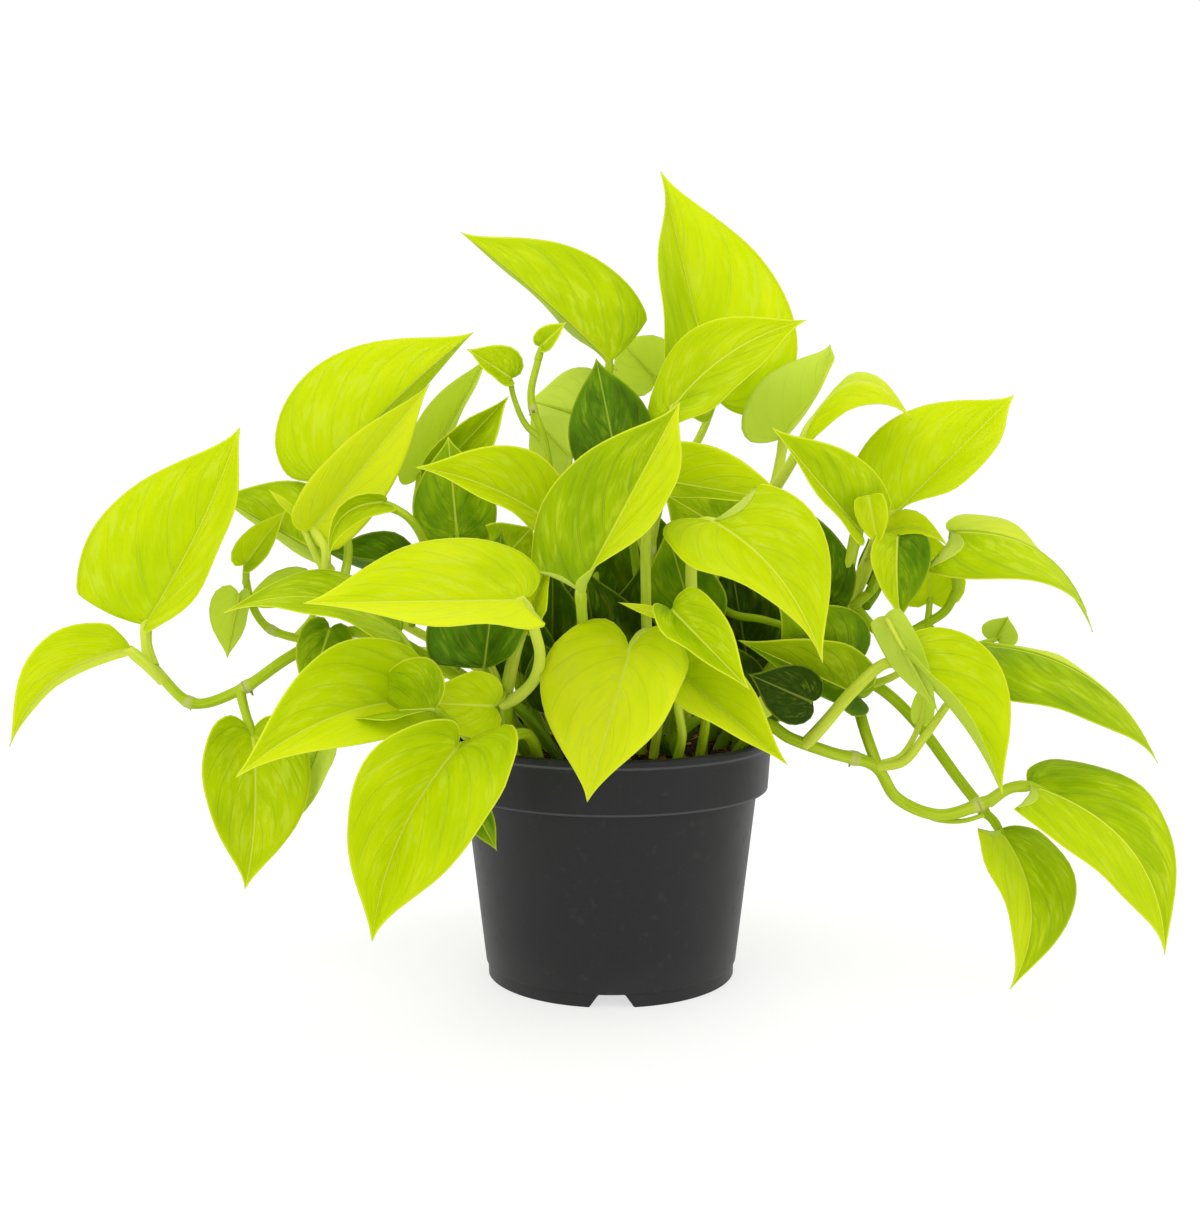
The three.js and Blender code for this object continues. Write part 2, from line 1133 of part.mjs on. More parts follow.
    base: [947, 547, -18],
    tip: [1093, 632, -36],
    wide: 0.38,
    turn: [-48, 50],
    bow: [-0.17, 0.05],
    twist: 55,
    lobe: [0.5, -0.5],
    on: "stem_right",
    stalk: [
      [957, 590, -10],
      [955, 565, -14],
    ],
  },
  {
    name: "leaf_right_far",
    base: [978, 645, -20],
    tip: [1158, 763, -42],
    turn: [-62, 60],
    bow: [-0.12, 0.05],
    lobe: [0.3, 0.3],
    on: "stem_right",
    stalk: [
      [925, 624, -12],
      [945, 642, -14],
      [962, 646, -17],
    ],
  },
  {
    name: "leaf_right_folded",
    base: [905, 660, -58],
    tip: [1003, 795, -78],
    wide: 0.4,
    turn: [0, 104],
    bow: [-0.06, 0.04],
    lobe: [1, 0.4],
    on: "stem_right_low",
    stalk: [
      [806, 744, -38],
      [826, 722, -50],
      [852, 692, -60],
      [884, 664, -58],
    ],
  },
  {
    name: "leaf_right_low",
    base: [1030, 785, -46],
    tip: [1165, 955, -62],
    wide: 0.31,
    turn: [-50, 55],
    bow: [-0.18, 0.05],
    twist: -30,
    lobe: [0.4, -0.5],
    on: "stem_right_low",
    stalk: [
      [988, 802, -40],
      [1010, 788, -43],
    ],
  },
  {
    name: "leaf_right_lowest",
    base: [1000, 830, -20],
    tip: [1010, 990, -44],
    turn: [-25, 65],
    bow: [-0.16, 0.05],
    lobe: [0.3, -0.5],
    on: "stem_right_long",
    stalk: [
      [984, 812, -12],
      [993, 820, -16],
    ],
  },
  {
    name: "leaf_right_sheath",
    base: [938, 716, -40],
    tip: [925, 682, -42],
    within: "stem_right_low",
    stalk: [
      [875, 766, -36],
      [912, 758, -39],
      [934, 732, -40],
    ],
  },
  {
    name: "leaf_middle_right",
    base: [783, 438, 14],
    tip: [830, 344, 42],
    wide: 0.44,
    turn: [0, 83],
    bow: [0.08, 0.05],
    lobe: [1.3, 0.5],
    under: true,
    on: "stem_centre_right",
    stalk: [
      [775, 488, 10],
      [780, 462, 13],
    ],
  },
  {
    name: "leaf_upper_right",
    base: [810, 423, -20],
    tip: [912, 420, -36],
    wide: 0.4,
    turn: [-65, 50],
    bow: [-0.38, 0.02],
    lobe: [0.5, 0.2],
    on: "stem_centre_right",
    stalk: [
      [767, 504, 10],
      [777, 486, -2],
      [790, 465, -12],
      [804, 438, -20],
    ],
  },
  {
    name: "leaf_rear_left_high",
    hidden: true,
    base: [-80, 90, 178],
    tip: [-140, 104, 178],
    wide: 0.38,
    turn: [25, 30],
    within: "stem_back_left",
    stalk: [
      [-56, 82, 154],
      [-74, 88, 172],
    ],
  },
  {
    name: "leaf_rear_left_side",
    hidden: true,
    base: [-98, 106, 142],
    tip: [-150, 116, 134],
    wide: 0.36,
    turn: [25, 30],
    within: "stem_back_left",
    stalk: [
      [-72, 98, 146],
      [-92, 104, 146],
    ],
  },
  {
    name: "leaf_rear_left_low",
    hidden: true,
    base: [-72, 126, 104],
    tip: [-60, 146, 48],
    wide: 0.38,
    turn: [25, 30],
    within: "stem_back_left",
    stalk: [
      [-76, 108, 122],
      [-74, 120, 112],
    ],
  },
  {
    name: "leaf_rear_left_end",
    hidden: true,
    base: [-60, 120, 86],
    tip: [-34, 134, 34],
    wide: 0.38,
    turn: [25, 30],
    within: "stem_back_left",
    stalk: [[-66, 112, 98]],
  },
  {
    name: "leaf_rear_high",
    hidden: true,
    base: [-18, 76, 196],
    tip: [-46, 112, 246],
    wide: 0.4,
    turn: [25, 30],
    within: "stem_back",
    stalk: [
      [-2, 64, 150],
      [-14, 72, 186],
    ],
  },
  {
    name: "leaf_rear_out",
    hidden: true,
    base: [14, 102, 172],
    tip: [40, 152, 168],
    wide: 0.4,
    turn: [25, 30],
    within: "stem_back",
    stalk: [
      [-6, 86, 160],
      [10, 98, 170],
    ],
  },
  {
    name: "leaf_rear_low",
    hidden: true,
    base: [-22, 122, 136],
    tip: [-34, 160, 96],
    wide: 0.38,
    turn: [25, 30],
    within: "stem_back",
    stalk: [
      [-4, 106, 146],
      [-18, 118, 140],
    ],
  },
  {
    name: "leaf_rear_end",
    hidden: true,
    base: [8, 124, 110],
    tip: [22, 146, 54],
    wide: 0.38,
    turn: [25, 30],
    within: "stem_back",
    stalk: [[4, 116, 122]],
  },
  {
    name: "leaf_rear_right_high",
    hidden: true,
    base: [58, 68, 196],
    tip: [70, 96, 236],
    wide: 0.4,
    turn: [25, 30],
    within: "stem_back_right",
    stalk: [
      [42, 60, 146],
      [54, 66, 184],
    ],
  },
  {
    name: "leaf_rear_right_side",
    hidden: true,
    base: [86, 90, 168],
    tip: [124, 104, 166],
    wide: 0.4,
    turn: [25, 30],
    within: "stem_back_right",
    stalk: [
      [58, 82, 156],
      [80, 88, 166],
    ],
  },
  {
    name: "leaf_rear_right_low",
    hidden: true,
    base: [82, 114, 130],
    tip: [78, 146, 84],
    wide: 0.38,
    turn: [25, 30],
    within: "stem_back_right",
    stalk: [
      [74, 96, 144],
      [82, 108, 138],
    ],
  },
  {
    name: "leaf_rear_right_end",
    hidden: true,
    base: [70, 112, 108],
    tip: [50, 130, 54],
    wide: 0.36,
    turn: [25, 30],
    within: "stem_back_right",
    stalk: [[78, 104, 122]],
  },
];

const plants = leaves.map((leaf) => ({ ...leafDefaults, ...leaf }));

// What stands in the soil goes straight down into it.
function footPoints([x, y]) {
  const heights = [soilTop - rootDepth, soilTop - footRise, soilTop + footRise];
  return heights.map((z) => new THREE.Vector3(x, y, z));
}

function stemTube(name, spare = 0) {
  const stem = stems[name];
  const path = stem.path.map((point) => placed(stem, point));
  return tube([...footPoints(stem.foot), ...path], stem.thick, stemSides, spare, stem.knots);
}

// The stalk ends in the blade, at the foot of its midrib.
function stalkTube(leaf, spare = 0) {
  const frame = bladeFrame(leaf);
  const end = frame.base
    .clone()
    .addScaledVector(frame.axis, stalkReach)
    .addScaledVector(frame.out, -0.7 * bladeThickness);
  const feet = leaf.foot ? footPoints(leaf.foot) : [];
  const path = leaf.stalk.map((point) => placed(leaf, point));
  const thick = leaf.within ? [smallStalk, smallStalkEnd] : [stalkFoot, stalkEnd];
  return tube([...feet, ...path, end], thick, stalkSides, spare);
}

function leafSolids(leaf) {
  const fused = plants.filter((other) => other.within === leaf.name).flatMap(leafSolids);
  return [blade(leaf), stalkTube(leaf), ...fused];
}

function leafSolid(leaf) {
  const whole = wasm.Manifold.union(leafSolids(leaf));
  if (!leaf.on) return whole;
  const small = plants.filter((other) => other.within === leaf.on);
  const clearance = [stemTube(leaf.on, gap), ...small.map((other) => stalkTube(other, gap))];
  return largest(whole.subtract(wasm.Manifold.union(clearance)));
}

function stemSolid(name) {
  const fused = plants.filter((leaf) => leaf.within === name).flatMap(leafSolids);
  return wasm.Manifold.union([stemTube(name), ...fused]);
}

// The pot: a shell with a raised floor, a central foot, a ring foot with notches, and drain holes.
function turned(profile) {
  const outline = profile.map(([radius, z]) => new THREE.Vector2(radius, z));
  return solidOf(new THREE.LatheGeometry(outline, potFacets).rotateX(Math.PI / 2));
}

const floorFoot = footHeight - edgeEase;
const floorTop = floorFoot + floorThickness;
const collarFoot = potHeight - collarHeight;
const innerWall = [
  [baseRadius - 1.7 * wallThickness, floorTop],
  [baseRadius - 0.8 * wallThickness, floorTop + wallThickness],
  [shoulderRadius - wallThickness, collarFoot + wallThickness - edgeEase],
  [collarRadius - wallThickness, collarFoot + wallThickness + edgeEase],
  [rimRadius - wallThickness, potHeight - 2.5 * lipRadius],
];

function pot() {
  const underside = [
    [0, 0],
    [padRadius, 0],
    [padRadius + floorThickness, floorFoot],
    [ringInner, floorFoot],
    [ringInner + 3 * edgeEase, 0],
    [footRadius - edgeEase, 0],
    [footRadius, edgeEase],
    [footRadius, floorFoot],
  ];
  const outside = [
    [baseRadius, footHeight],
    [shoulderRadius, collarFoot - 2 * edgeEase],
    [collarRadius - edgeEase, collarFoot],
    [collarRadius, collarFoot + edgeEase],
    [rimRadius - edgeEase, potHeight - 3 * lipRadius],
  ];
  const lip = [-0.6, 0, 0.8, 1.57, 2.5].map((angle) => [
    rimRadius - lipRadius + lipRadius * Math.cos(angle),
    potHeight - lipRadius + lipRadius * Math.sin(angle),
  ]);
  const inside = [
    [padRadius + 3 * edgeEase, floorTop],
    [padRadius - 3 * edgeEase, floorThickness],
    [0, floorThickness],
  ];
  const shell = turned([...underside, ...outside, ...lip, ...[...innerWall].reverse(), ...inside]);
  const notch = new THREE.Shape();
  notch.moveTo(-notchFoot / 2 - edgeEase, -edgeEase);
  notch.lineTo(notchFoot / 2 + edgeEase, -edgeEase);
  notch.lineTo(notchHead / 2 + 3 * edgeEase, footHeight - 4 * edgeEase);
  notch.lineTo(notchHead / 2, footHeight);
  notch.lineTo(-notchHead / 2, footHeight);
  notch.lineTo(-notchHead / 2 - 3 * edgeEase, footHeight - 4 * edgeEase);
  const through = { depth: 2 * (footRadius - ringInner), bevelEnabled: false };
  const cuts = [];
  for (let i = 0; i < notchCount; i += 1) {
    const cut = new THREE.ExtrudeGeometry(notch, through);
    cut.rotateX(Math.PI / 2).translate(0, footRadius + floorThickness, 0);
    cuts.push(solidOf(cut.rotateZ((2 * Math.PI * i) / notchCount)));
  }
  for (let i = 0; i < drainCount; i += 1) {
    const drain = new THREE.CylinderGeometry(drainRadius, drainRadius, 3 * floorThickness, 12);
    drain.rotateX(Math.PI / 2).translate(drainCircle, 0, footHeight);
    cuts.push(solidOf(drain.rotateZ((2 * Math.PI * i) / drainCount)));
  }
  return shell.subtract(wasm.Manifold.union(cuts));
}

// The soil follows the pot's inside and holds each foot in a plain hole.
function soil() {
  const wall = innerWall.map(([radius, z]) => [radius - gap, z + gap]);
  wall[wall.length - 1] = [soilRadius, soilTop];
  const rings = soilRings.map((share) => [share * soilRadius, soilTop]);
  const outline = [[0, floorTop + gap], ...wall, ...rings, [0, soilTop]];
  const shape = outline.map(([radius, z]) => new THREE.Vector2(radius, z));
  const mass = new THREE.LatheGeometry(shape, potFacets).rotateX(Math.PI / 2);
  const places = mass.attributes.position;
  for (let i = 0; i < places.count; i += 1) {
    const x = places.getX(i);
    const y = places.getY(i);
    if (places.getZ(i) < soilTop - gap || Math.hypot(x, y) > soilRadius - gap) continue;
    const lump = Math.sin((2 * Math.PI * x) / lumpWave) * Math.cos((2 * Math.PI * y) / lumpWave);
    const clod = 0.5 * Math.sin((2 * Math.PI * (y - x)) / clodWave);
    places.setZ(i, soilTop + soilBump * (lump + clod));
  }
  const holes = [
    ...Object.keys(stems).map((name) => stemTube(name, gap)),
    ...plants.filter((leaf) => leaf.foot).map((leaf) => stalkTube(leaf, gap)),
  ];
  return largest(solidOf(mass).subtract(wasm.Manifold.union(holes)));
}

const group = new THREE.Group();
group.name = "golden_pothos";

function add(name, solid, color, roughness) {
  const material = new THREE.MeshStandardMaterial({ color, roughness, metalness: 0 });
  const mesh = new THREE.Mesh(geometryOf(solid), material);
  mesh.name = name;
  group.add(mesh);
}

const black = new THREE.Color(0x2c2d30);
const brown = new THREE.Color(0x2a1c12);
const olive = new THREE.Color(0x9cb32e);
const green = new THREE.Color(0x5f8f12);
const yellow = new THREE.Color(0xd8e62a);
const satin = 0.45;
const matte = 0.95;

add("pot", pot(), black, satin);
add("soil", soil(), brown, matte);
for (const name of Object.keys(stems)) {
  add(name, stemSolid(name), olive, satin);
}
for (const leaf of plants.filter((each) => !each.within)) {
  add(leaf.name, leafSolid(leaf), green.clone().lerp(yellow, leaf.tone), satin);
}

export default group;
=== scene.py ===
# A chartreuse golden pothos in its black nursery pot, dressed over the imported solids.
import json
import math
import random

import bpy
import numpy as np
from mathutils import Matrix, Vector, noise

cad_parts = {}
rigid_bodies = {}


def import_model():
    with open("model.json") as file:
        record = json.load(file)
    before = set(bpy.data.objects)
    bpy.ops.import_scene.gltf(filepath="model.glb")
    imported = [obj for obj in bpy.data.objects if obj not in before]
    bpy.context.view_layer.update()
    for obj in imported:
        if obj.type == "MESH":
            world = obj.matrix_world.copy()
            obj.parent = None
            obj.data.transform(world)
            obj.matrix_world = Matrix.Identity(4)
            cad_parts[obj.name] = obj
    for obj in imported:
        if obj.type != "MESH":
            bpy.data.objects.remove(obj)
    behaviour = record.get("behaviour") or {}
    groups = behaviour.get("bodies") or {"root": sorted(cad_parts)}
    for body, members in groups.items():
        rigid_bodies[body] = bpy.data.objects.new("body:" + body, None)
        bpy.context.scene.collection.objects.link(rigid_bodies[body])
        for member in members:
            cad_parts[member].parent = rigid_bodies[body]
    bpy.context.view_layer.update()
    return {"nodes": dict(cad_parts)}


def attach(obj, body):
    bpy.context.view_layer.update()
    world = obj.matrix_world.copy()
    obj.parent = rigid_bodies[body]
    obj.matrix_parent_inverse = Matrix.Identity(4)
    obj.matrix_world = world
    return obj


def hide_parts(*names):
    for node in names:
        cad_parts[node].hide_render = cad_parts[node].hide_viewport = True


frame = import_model()
scene = bpy.context.scene
mm = 0.001
print("frame loaded:", len(frame["nodes"]), "nodes")


# Camera and light

photo = dict(
    eye=(-5.65, -801.3, 253.1),  # millimetres
    pitch=4.82,  # degrees down
    focal=1571.8,  # pixels
    width=1200,
    height=1226,
    sensor=36,
    clipStart=0.01,
)

studio = dict(
    surround=1.03,
    aim=(0.0, 0.0, 0.2),
    floorSize=9.0,
    floorShade=(158, 158, 158),
    floorGlow=0.66,
    floorRough=0.6,
    floorHaze=0.1,
    hazeScale=3.0,
    floorSpecular=0.1,
)

lamps = dict(
    keyLamp=dict(power=7.0, size=0.9, place=(-0.75, -1.0, 1.25)),
    fillLamp=dict(power=3.0, size=1.1, place=(1.1, -0.9, 0.7)),
    backLamp=dict(power=3.5, size=1.0, place=(0.35, 1.0, 1.2)),
)


def addCamera():
    camera = bpy.data.cameras.new("photoCamera")
    camera.sensor_width = photo["sensor"]
    camera.lens = photo["focal"] * photo["sensor"] / max(photo["width"], photo["height"])
    camera.clip_start = photo["clipStart"]
    holder = bpy.data.objects.new("photoCamera", camera)
    holder.location = [value * mm for value in photo["eye"]]
    holder.rotation_euler = (math.radians(90 - photo["pitch"]), 0, 0)
    scene.collection.objects.link(holder)
    scene.camera = holder


def addLamp(name, power, size, place):
    lamp = bpy.data.lights.new(name, "AREA")
    lamp.energy = power
    lamp.size = size
    holder = bpy.data.objects.new(name, lamp)
    holder.location = place
    aim = Vector(studio["aim"]) - Vector(place)
    holder.rotation_euler = aim.to_track_quat("-Z", "Y").to_euler()
    scene.collection.objects.link(holder)


def at(across, down, depth):  # the point in mm that a pixel shows at that depth along Y
    tilt = math.radians(photo["pitch"])
    forward = np.array((0, math.cos(tilt), -math.sin(tilt)))
    upward = np.array((0, math.sin(tilt), math.cos(tilt)))
    ray = forward + np.array((1, 0, 0)) * (across - photo["width"] / 2) / photo["focal"]
    ray = ray + upward * (photo["height"] / 2 - down) / photo["focal"]
    eye = np.array(photo["eye"])
    return eye + ray * (depth - eye[1]) / ray[1]


addCamera()
for name, lamp in lamps.items():
    addLamp(name, **lamp)
scene.view_settings.view_transform = "Standard"
print("camera and lamps set")


# Node trees: sockets add and multiply like numbers

class Wire:
    def __init__(self, tree, socket):
        self.tree = tree
        self.socket = socket

    def __getitem__(self, name):
        return Wire(self.tree, self.socket.node.outputs[name])


def addOperator(name, operation):  # the wire may stand on either side of it
    setattr(Wire, "__%s__" % name, lambda wire, other: wire.tree.maths(operation, wire, other))
    setattr(Wire, "__r%s__" % name, lambda wire, other: wire.tree.maths(operation, other, wire))


for name, operation in dict(add="ADD", sub="SUBTRACT", mul="MULTIPLY", truediv="DIVIDE").items():
    addOperator(name, operation)


class Tree:
    def __init__(self, nodeTree):
        self.inner = nodeTree

    def add(self, kind, settings, sockets):
        node = self.inner.nodes.new(kind)
        for key, value in settings.items():
            if key == "stops":
                ramp = node.color_ramp.elements
                while len(ramp) < len(value):
                    ramp.new(0.5)
                for element, (place, color) in zip(ramp, value):
                    element.position = place
                    element.color = color
            else:
                setattr(node, key, value)
        for key, value in sockets.items():
            if isinstance(value, Wire):
                self.inner.links.new(value.socket, node.inputs[key])
            else:
                node.inputs[key].default_value = value
        return Wire(self, node.outputs[0]) if len(node.outputs) else node

    def maths(self, operation, *values):
        return self.add("ShaderNodeMath", {"operation": operation}, dict(enumerate(values)))

    def ease(self, value, low, high):  # 0 below low, 1 above high
        settings = {"interpolation_type": "SMOOTHSTEP"}
        return self.add("ShaderNodeMapRange", settings, {0: value, 1: low, 2: high})

    def rising(self, value, share, more, low, high):  # a share, and more as the value rises
        return share + more * self.ease(value, low, high)

    def wave(self, phase):  # 0 halfway between the lines, 1 on each line
        return self.maths("ABSOLUTE", self.maths("FRACT", phase) - 0.5) * 2

    def joined(self, x, y, z):
        return self.add("ShaderNodeCombineXYZ", {}, {0: x, 1: y, 2: z})

    def clouds(self, place, scale, detail=2.0):
        sockets = {"Vector": place, "Scale": scale, "Detail": detail}
        return self.add("ShaderNodeTexNoise", {}, sockets)

    def blend(self, factor, first, second):
        sockets = {0: factor, 6: first, 7: second}
        return self.add("ShaderNodeMix", {"data_type": "RGBA"}, sockets)["Result"]

    def ramp(self, value, stops):
        return self.add("ShaderNodeValToRGB", {"stops": stops}, {0: value})

    def attribute(self, name):
        settings = {"attribute_type": "GEOMETRY", "attribute_name": name}
        return self.add("ShaderNodeAttribute", settings, {})["Fac"]

    def objectPlace(self):
        return self.add("ShaderNodeTexCoord", {}, {})["Object"]

    def beyond(self, value, operation, limit):  # true where the value passes the limit
        return self.add("FunctionNodeCompare", {"operation": operation}, {0: value, 1: limit})

    def plain(self, color, roughness, specular, more):
        sockets = {"Base Color": color, "Roughness": roughness, "Specular IOR Level": specular}
        return self.add("ShaderNodeBsdfPrincipled", {}, {**sockets, **more})

    def skin(self, color, roughness, specular, relief, strength, depth):  # a rough skin, depth in metres
        sockets = {"Height": relief, "Strength": strength, "Distance": depth}
        return self.plain(color, roughness, specular, {"Normal": self.add("ShaderNodeBump", {}, sockets)})

    def lit(self, share, skin, color):  # some light shines through
        glow = self.add("ShaderNodeBsdfTranslucent", {}, {"Color": color})
        return self.add("ShaderNodeMixShader", {}, {0: share, 1: skin, 2: glow})


def rgb(red, green, blue):  # a screen colour as linear light
    levels = [value / 255 for value in (red, green, blue)]
    return tuple(v / 12.92 if v < 0.04045 else ((v + 0.055) / 1.055) ** 2.4 for v in levels) + (1,)


def newMaterial(name):
    material = bpy.data.materials.new(name)
    material.use_nodes = True
    material.node_tree.nodes.clear()
    return material, Tree(material.node_tree)


def surfaceOut(tree, shader):
    tree.add("ShaderNodeOutputMaterial", {}, {"Surface": shader})


# Geometry groups and mesh objects

def newGroup(name, inputs, output):  # its tree, and its input sockets by name
    group = bpy.data.node_groups.new(name, "GeometryNodeTree")
    for label, kind in inputs.items():
        group.interface.new_socket(label, in_out="INPUT", socket_type="NodeSocket" + kind)
    group.interface.new_socket(output, in_out="OUTPUT", socket_type="NodeSocketGeometry")
    tree = Tree(group)
    return group, tree, tree.add("NodeGroupInput", {}, {})


def meshObject(name, points, edges, faces, home=scene.collection):
    mesh = bpy.data.meshes.new(name)
    mesh.from_pydata(points, edges, faces)
    piece = bpy.data.objects.new(name, mesh)
    home.objects.link(piece)
    return piece


def settle(piece):  # what the modifiers make becomes the piece's own mesh
    graph = bpy.context.evaluated_depsgraph_get()
    done = piece.evaluated_get(graph)
    mesh = bpy.data.meshes.new_from_object(done, preserve_all_data_layers=True, depsgraph=graph)
    piece.modifiers.clear()
    rough = piece.data
    piece.data = mesh
    bpy.data.meshes.remove(rough)
    mesh.name = piece.name


def growMesh(piece, tree, values):
    modifier = piece.modifiers.new("grow", "NODES")
    modifier.node_group = tree
    for item in tree.interface.items_tree:
        if item.in_out == "INPUT" and item.name in values:
            modifier[item.identifier] = values[item.name]
    settle(piece)


def ringOf(count):  # angles evenly round a circle
    return [2 * math.pi * k / count for k in range(count)]


# Finishes

leafLook = dict(
    shades=[
        (0.0, rgb(34, 60, 0)),
        (0.2, rgb(78, 121, 0)),
        (0.4, rgb(136, 168, 0)),
        (0.6, rgb(182, 205, 0)),
        (0.8, rgb(208, 224, 2)),
        (1.0, rgb(232, 239, 30)),
    ],
    margin=rgb(236, 242, 62),
    midrib=rgb(234, 241, 92),
    beneath=rgb(230, 243, 112),
    through=rgb(222, 236, 0),
    mottle=rgb(214, 228, 66),
    patchNoise=(4.5, 1.7, 19, 1.5),  # along, across, for each leaf, detail
    streakNoise=(16, 2.8, 37, 3.0),
    blotNoise=(27, 7, 53, 2.5),
    veins=8.0,
    minors=4,
    sweep=0.2,
    sweepBend=0.1,
    stagger=0.21,
    wander=0.3,
    minorWander=0.7,
    streaks=0.32,
    patches=0.32,
    paling=0.16,  # from the base of a blade to its tip
    palingMiddle=0.4,
    veinShade=0.09,
    minorShade=0.03,
    fromRib=(0.4, 2.5),  # mm, where the surface's marks fade in
    fromEdge=(0.5, 5.0),
    veinBand=(0.84, 1.0),
    threadBand=(0.95, 0.99),
    minorBand=(0.6, 1.0),
    blotBand=(0.48, 0.62),
    marginBand=(0.35, 0.95),
    ribBand=(0.35, 1.0),
    ribTaper=(1.25, 0.9),
    patchShare=(0.3, 0.7, 0.4, 0.58),  # a share, what a rising value adds, and from where to where
    mottleShare=(0.12, 0.42, 0.2, 0.7),
    marginShare=(0.16, 0.8, 0.05, 0.7),
    ribShare=(0.2, 0.7, 0, 0.7),
    beneathShare=(0.3, 0.65, 0, 1),
    lightShare=(0.14, 0.26, 0.0, 1.0),
    threadShare=(0.1, 0.3),
    beneathLight=(0.2, 0.4, 1.0),
    relief=dict(vein=-0.5, streak=0.35, blot=0.25, grain=0.1),
    veinDepth=0.0007,
    bump=0.5,
    grain=1400.0,
    roughness=0.4,
    unevenness=0.14,
    specular=0.06,
)


def leafFinish():
    look = leafLook
    material, tree = newMaterial("chartreuseLeaf")
    tone = tree.attribute("tone")
    beneath = tree.attribute("beneath")
    along = tree.attribute("along")
    across = tree.attribute("across")
    fromRib = tree.attribute("fromRib")
    fromEdge = tree.attribute("fromEdge")
    seed = tree.attribute("seed")

    def drift(run, kind):  # soft noise over the blade, stretched along its veins
        lengthwise, crosswise, apart, detail = look[kind]
        return tree.clouds(tree.joined(run * lengthwise, across * crosswise, seed * apart), 1.0, detail)

    patch = drift(along, "patchNoise")
    away = tree.maths("ABSOLUTE", across)
    swept = along - away * (look["sweep"] + look["sweepBend"] * away)
    streak = drift(swept, "streakNoise")
    blot = drift(swept, "blotNoise")
    sides = tree.maths("SIGN", across) * look["stagger"]
    phase = swept * look["veins"] + (patch - 0.5) * look["wander"] + sides
    wave = tree.wave(phase)
    minor = tree.wave(phase * look["minors"] + (streak - 0.5) * look["minorWander"])
    inner = tree.ease(fromRib, *look["fromRib"]) * tree.ease(fromEdge, *look["fromEdge"])
    vein = tree.ease(wave, *look["veinBand"]) * inner
    thread = tree.ease(wave, *look["threadBand"]) * inner
    shade = tone + (streak - 0.5) * look["streaks"] * inner + (patch - 0.5) * look["patches"]
    shade = shade + (along - look["palingMiddle"]) * look["paling"]
    shade = shade - vein * look["veinShade"]
    shade = shade - tree.ease(minor, *look["minorBand"]) * inner * look["minorShade"]
    color = tree.ramp(shade, look["shades"])
    paler = tree.ease(blot, *look["blotBand"]) * (1 - vein) * inner
    paler = paler * tree.rising(patch, *look["patchShare"])
    color = tree.blend(paler * tree.rising(tone, *look["mottleShare"]), color, look["mottle"])
    margin = (1 - tree.ease(fromEdge, *look["marginBand"])) * tree.rising(tone, *look["marginShare"])
    wide, narrower = look["ribTaper"]
    ribSpan = fromRib / (wide - narrower * along)
    midrib = (1 - tree.ease(ribSpan, *look["ribBand"])) * tree.rising(tone, *look["ribShare"])
    color = tree.blend(margin, color, look["margin"])
    color = tree.blend(midrib, color, look["midrib"])
    faint, more = look["threadShare"]
    color = tree.blend(thread * (faint + more * tone), color, look["midrib"])
    color = tree.blend(beneath * tree.rising(tone, *look["beneathShare"]), color, look["beneath"])
    grain = tree.clouds(tree.objectPlace(), look["grain"], 2.0)
    rise = look["relief"]
    relief = (1 - 2 * beneath) * vein * rise["vein"]
    relief = relief + streak * rise["streak"] + blot * rise["blot"] + grain * rise["grain"]
    roughness = look["roughness"] + streak * look["unevenness"] + beneath * look["unevenness"]
    skin = tree.skin(color, roughness, look["specular"], relief, look["bump"], look["veinDepth"])
    more, low, high = look["beneathLight"]
    share = tree.rising(tone, *look["lightShare"]) + more * beneath * tree.ease(tone, low, high)
    surfaceOut(tree, tree.lit(share, skin, look["through"]))
    return material


stalkLook = dict(
    shades=[
        (0.0, rgb(58, 88, 4)),
        (0.35, rgb(118, 148, 8)),
        (0.65, rgb(168, 194, 16)),
        (1.0, rgb(216, 228, 76)),
    ],
    knot=rgb(206, 204, 130),
    knotBand=(0.25, 0.9),
    knotShare=0.6,
    scar=rgb(122, 104, 52),
    scarBand=(0.8, 1.0),
    scarPatch=(0.4, 0.6),
    scarShare=0.7,
    through=rgb(190, 220, 60),
    throughShare=0.14,
    around=2.6,
    lengthwise=45,
    patchScale=55.0,
    streaks=0.42,
    patches=0.3,
    bump=0.4,
    grooves=0.0004,
    roughness=0.4,
    unevenness=0.2,
    specular=0.12,
)


def stalkFinish():
    look = stalkLook
    material, tree = newMaterial("greenStalk")
    tone = tree.attribute("tone")
    along = tree.attribute("stretch")
    knot = tree.attribute("knot")
    x, y = (tree.attribute(name) * look["around"] for name in ("roundX", "roundY"))
    streak = tree.clouds(tree.joined(x, y, along * look["lengthwise"]), 1.0, 2.0)
    patch = tree.clouds(tree.objectPlace(), look["patchScale"], 2.0)
    shade = tone + (streak - 0.5) * look["streaks"] + (patch - 0.5) * look["patches"]
    color = tree.ramp(shade, look["shades"])
    color = tree.blend(tree.ease(knot, *look["knotBand"]) * look["knotShare"], color, look["knot"])
    scar = tree.ease(knot, *look["scarBand"]) * tree.ease(patch, *look["scarPatch"])
    color = tree.blend(scar * look["scarShare"], color, look["scar"])
    roughness = look["roughness"] + look["unevenness"] * streak
    skin = tree.skin(color, roughness, look["specular"], streak, look["bump"], look["grooves"])
    surfaceOut(tree, tree.lit(look["throughShare"], skin, look["through"]))
    return material


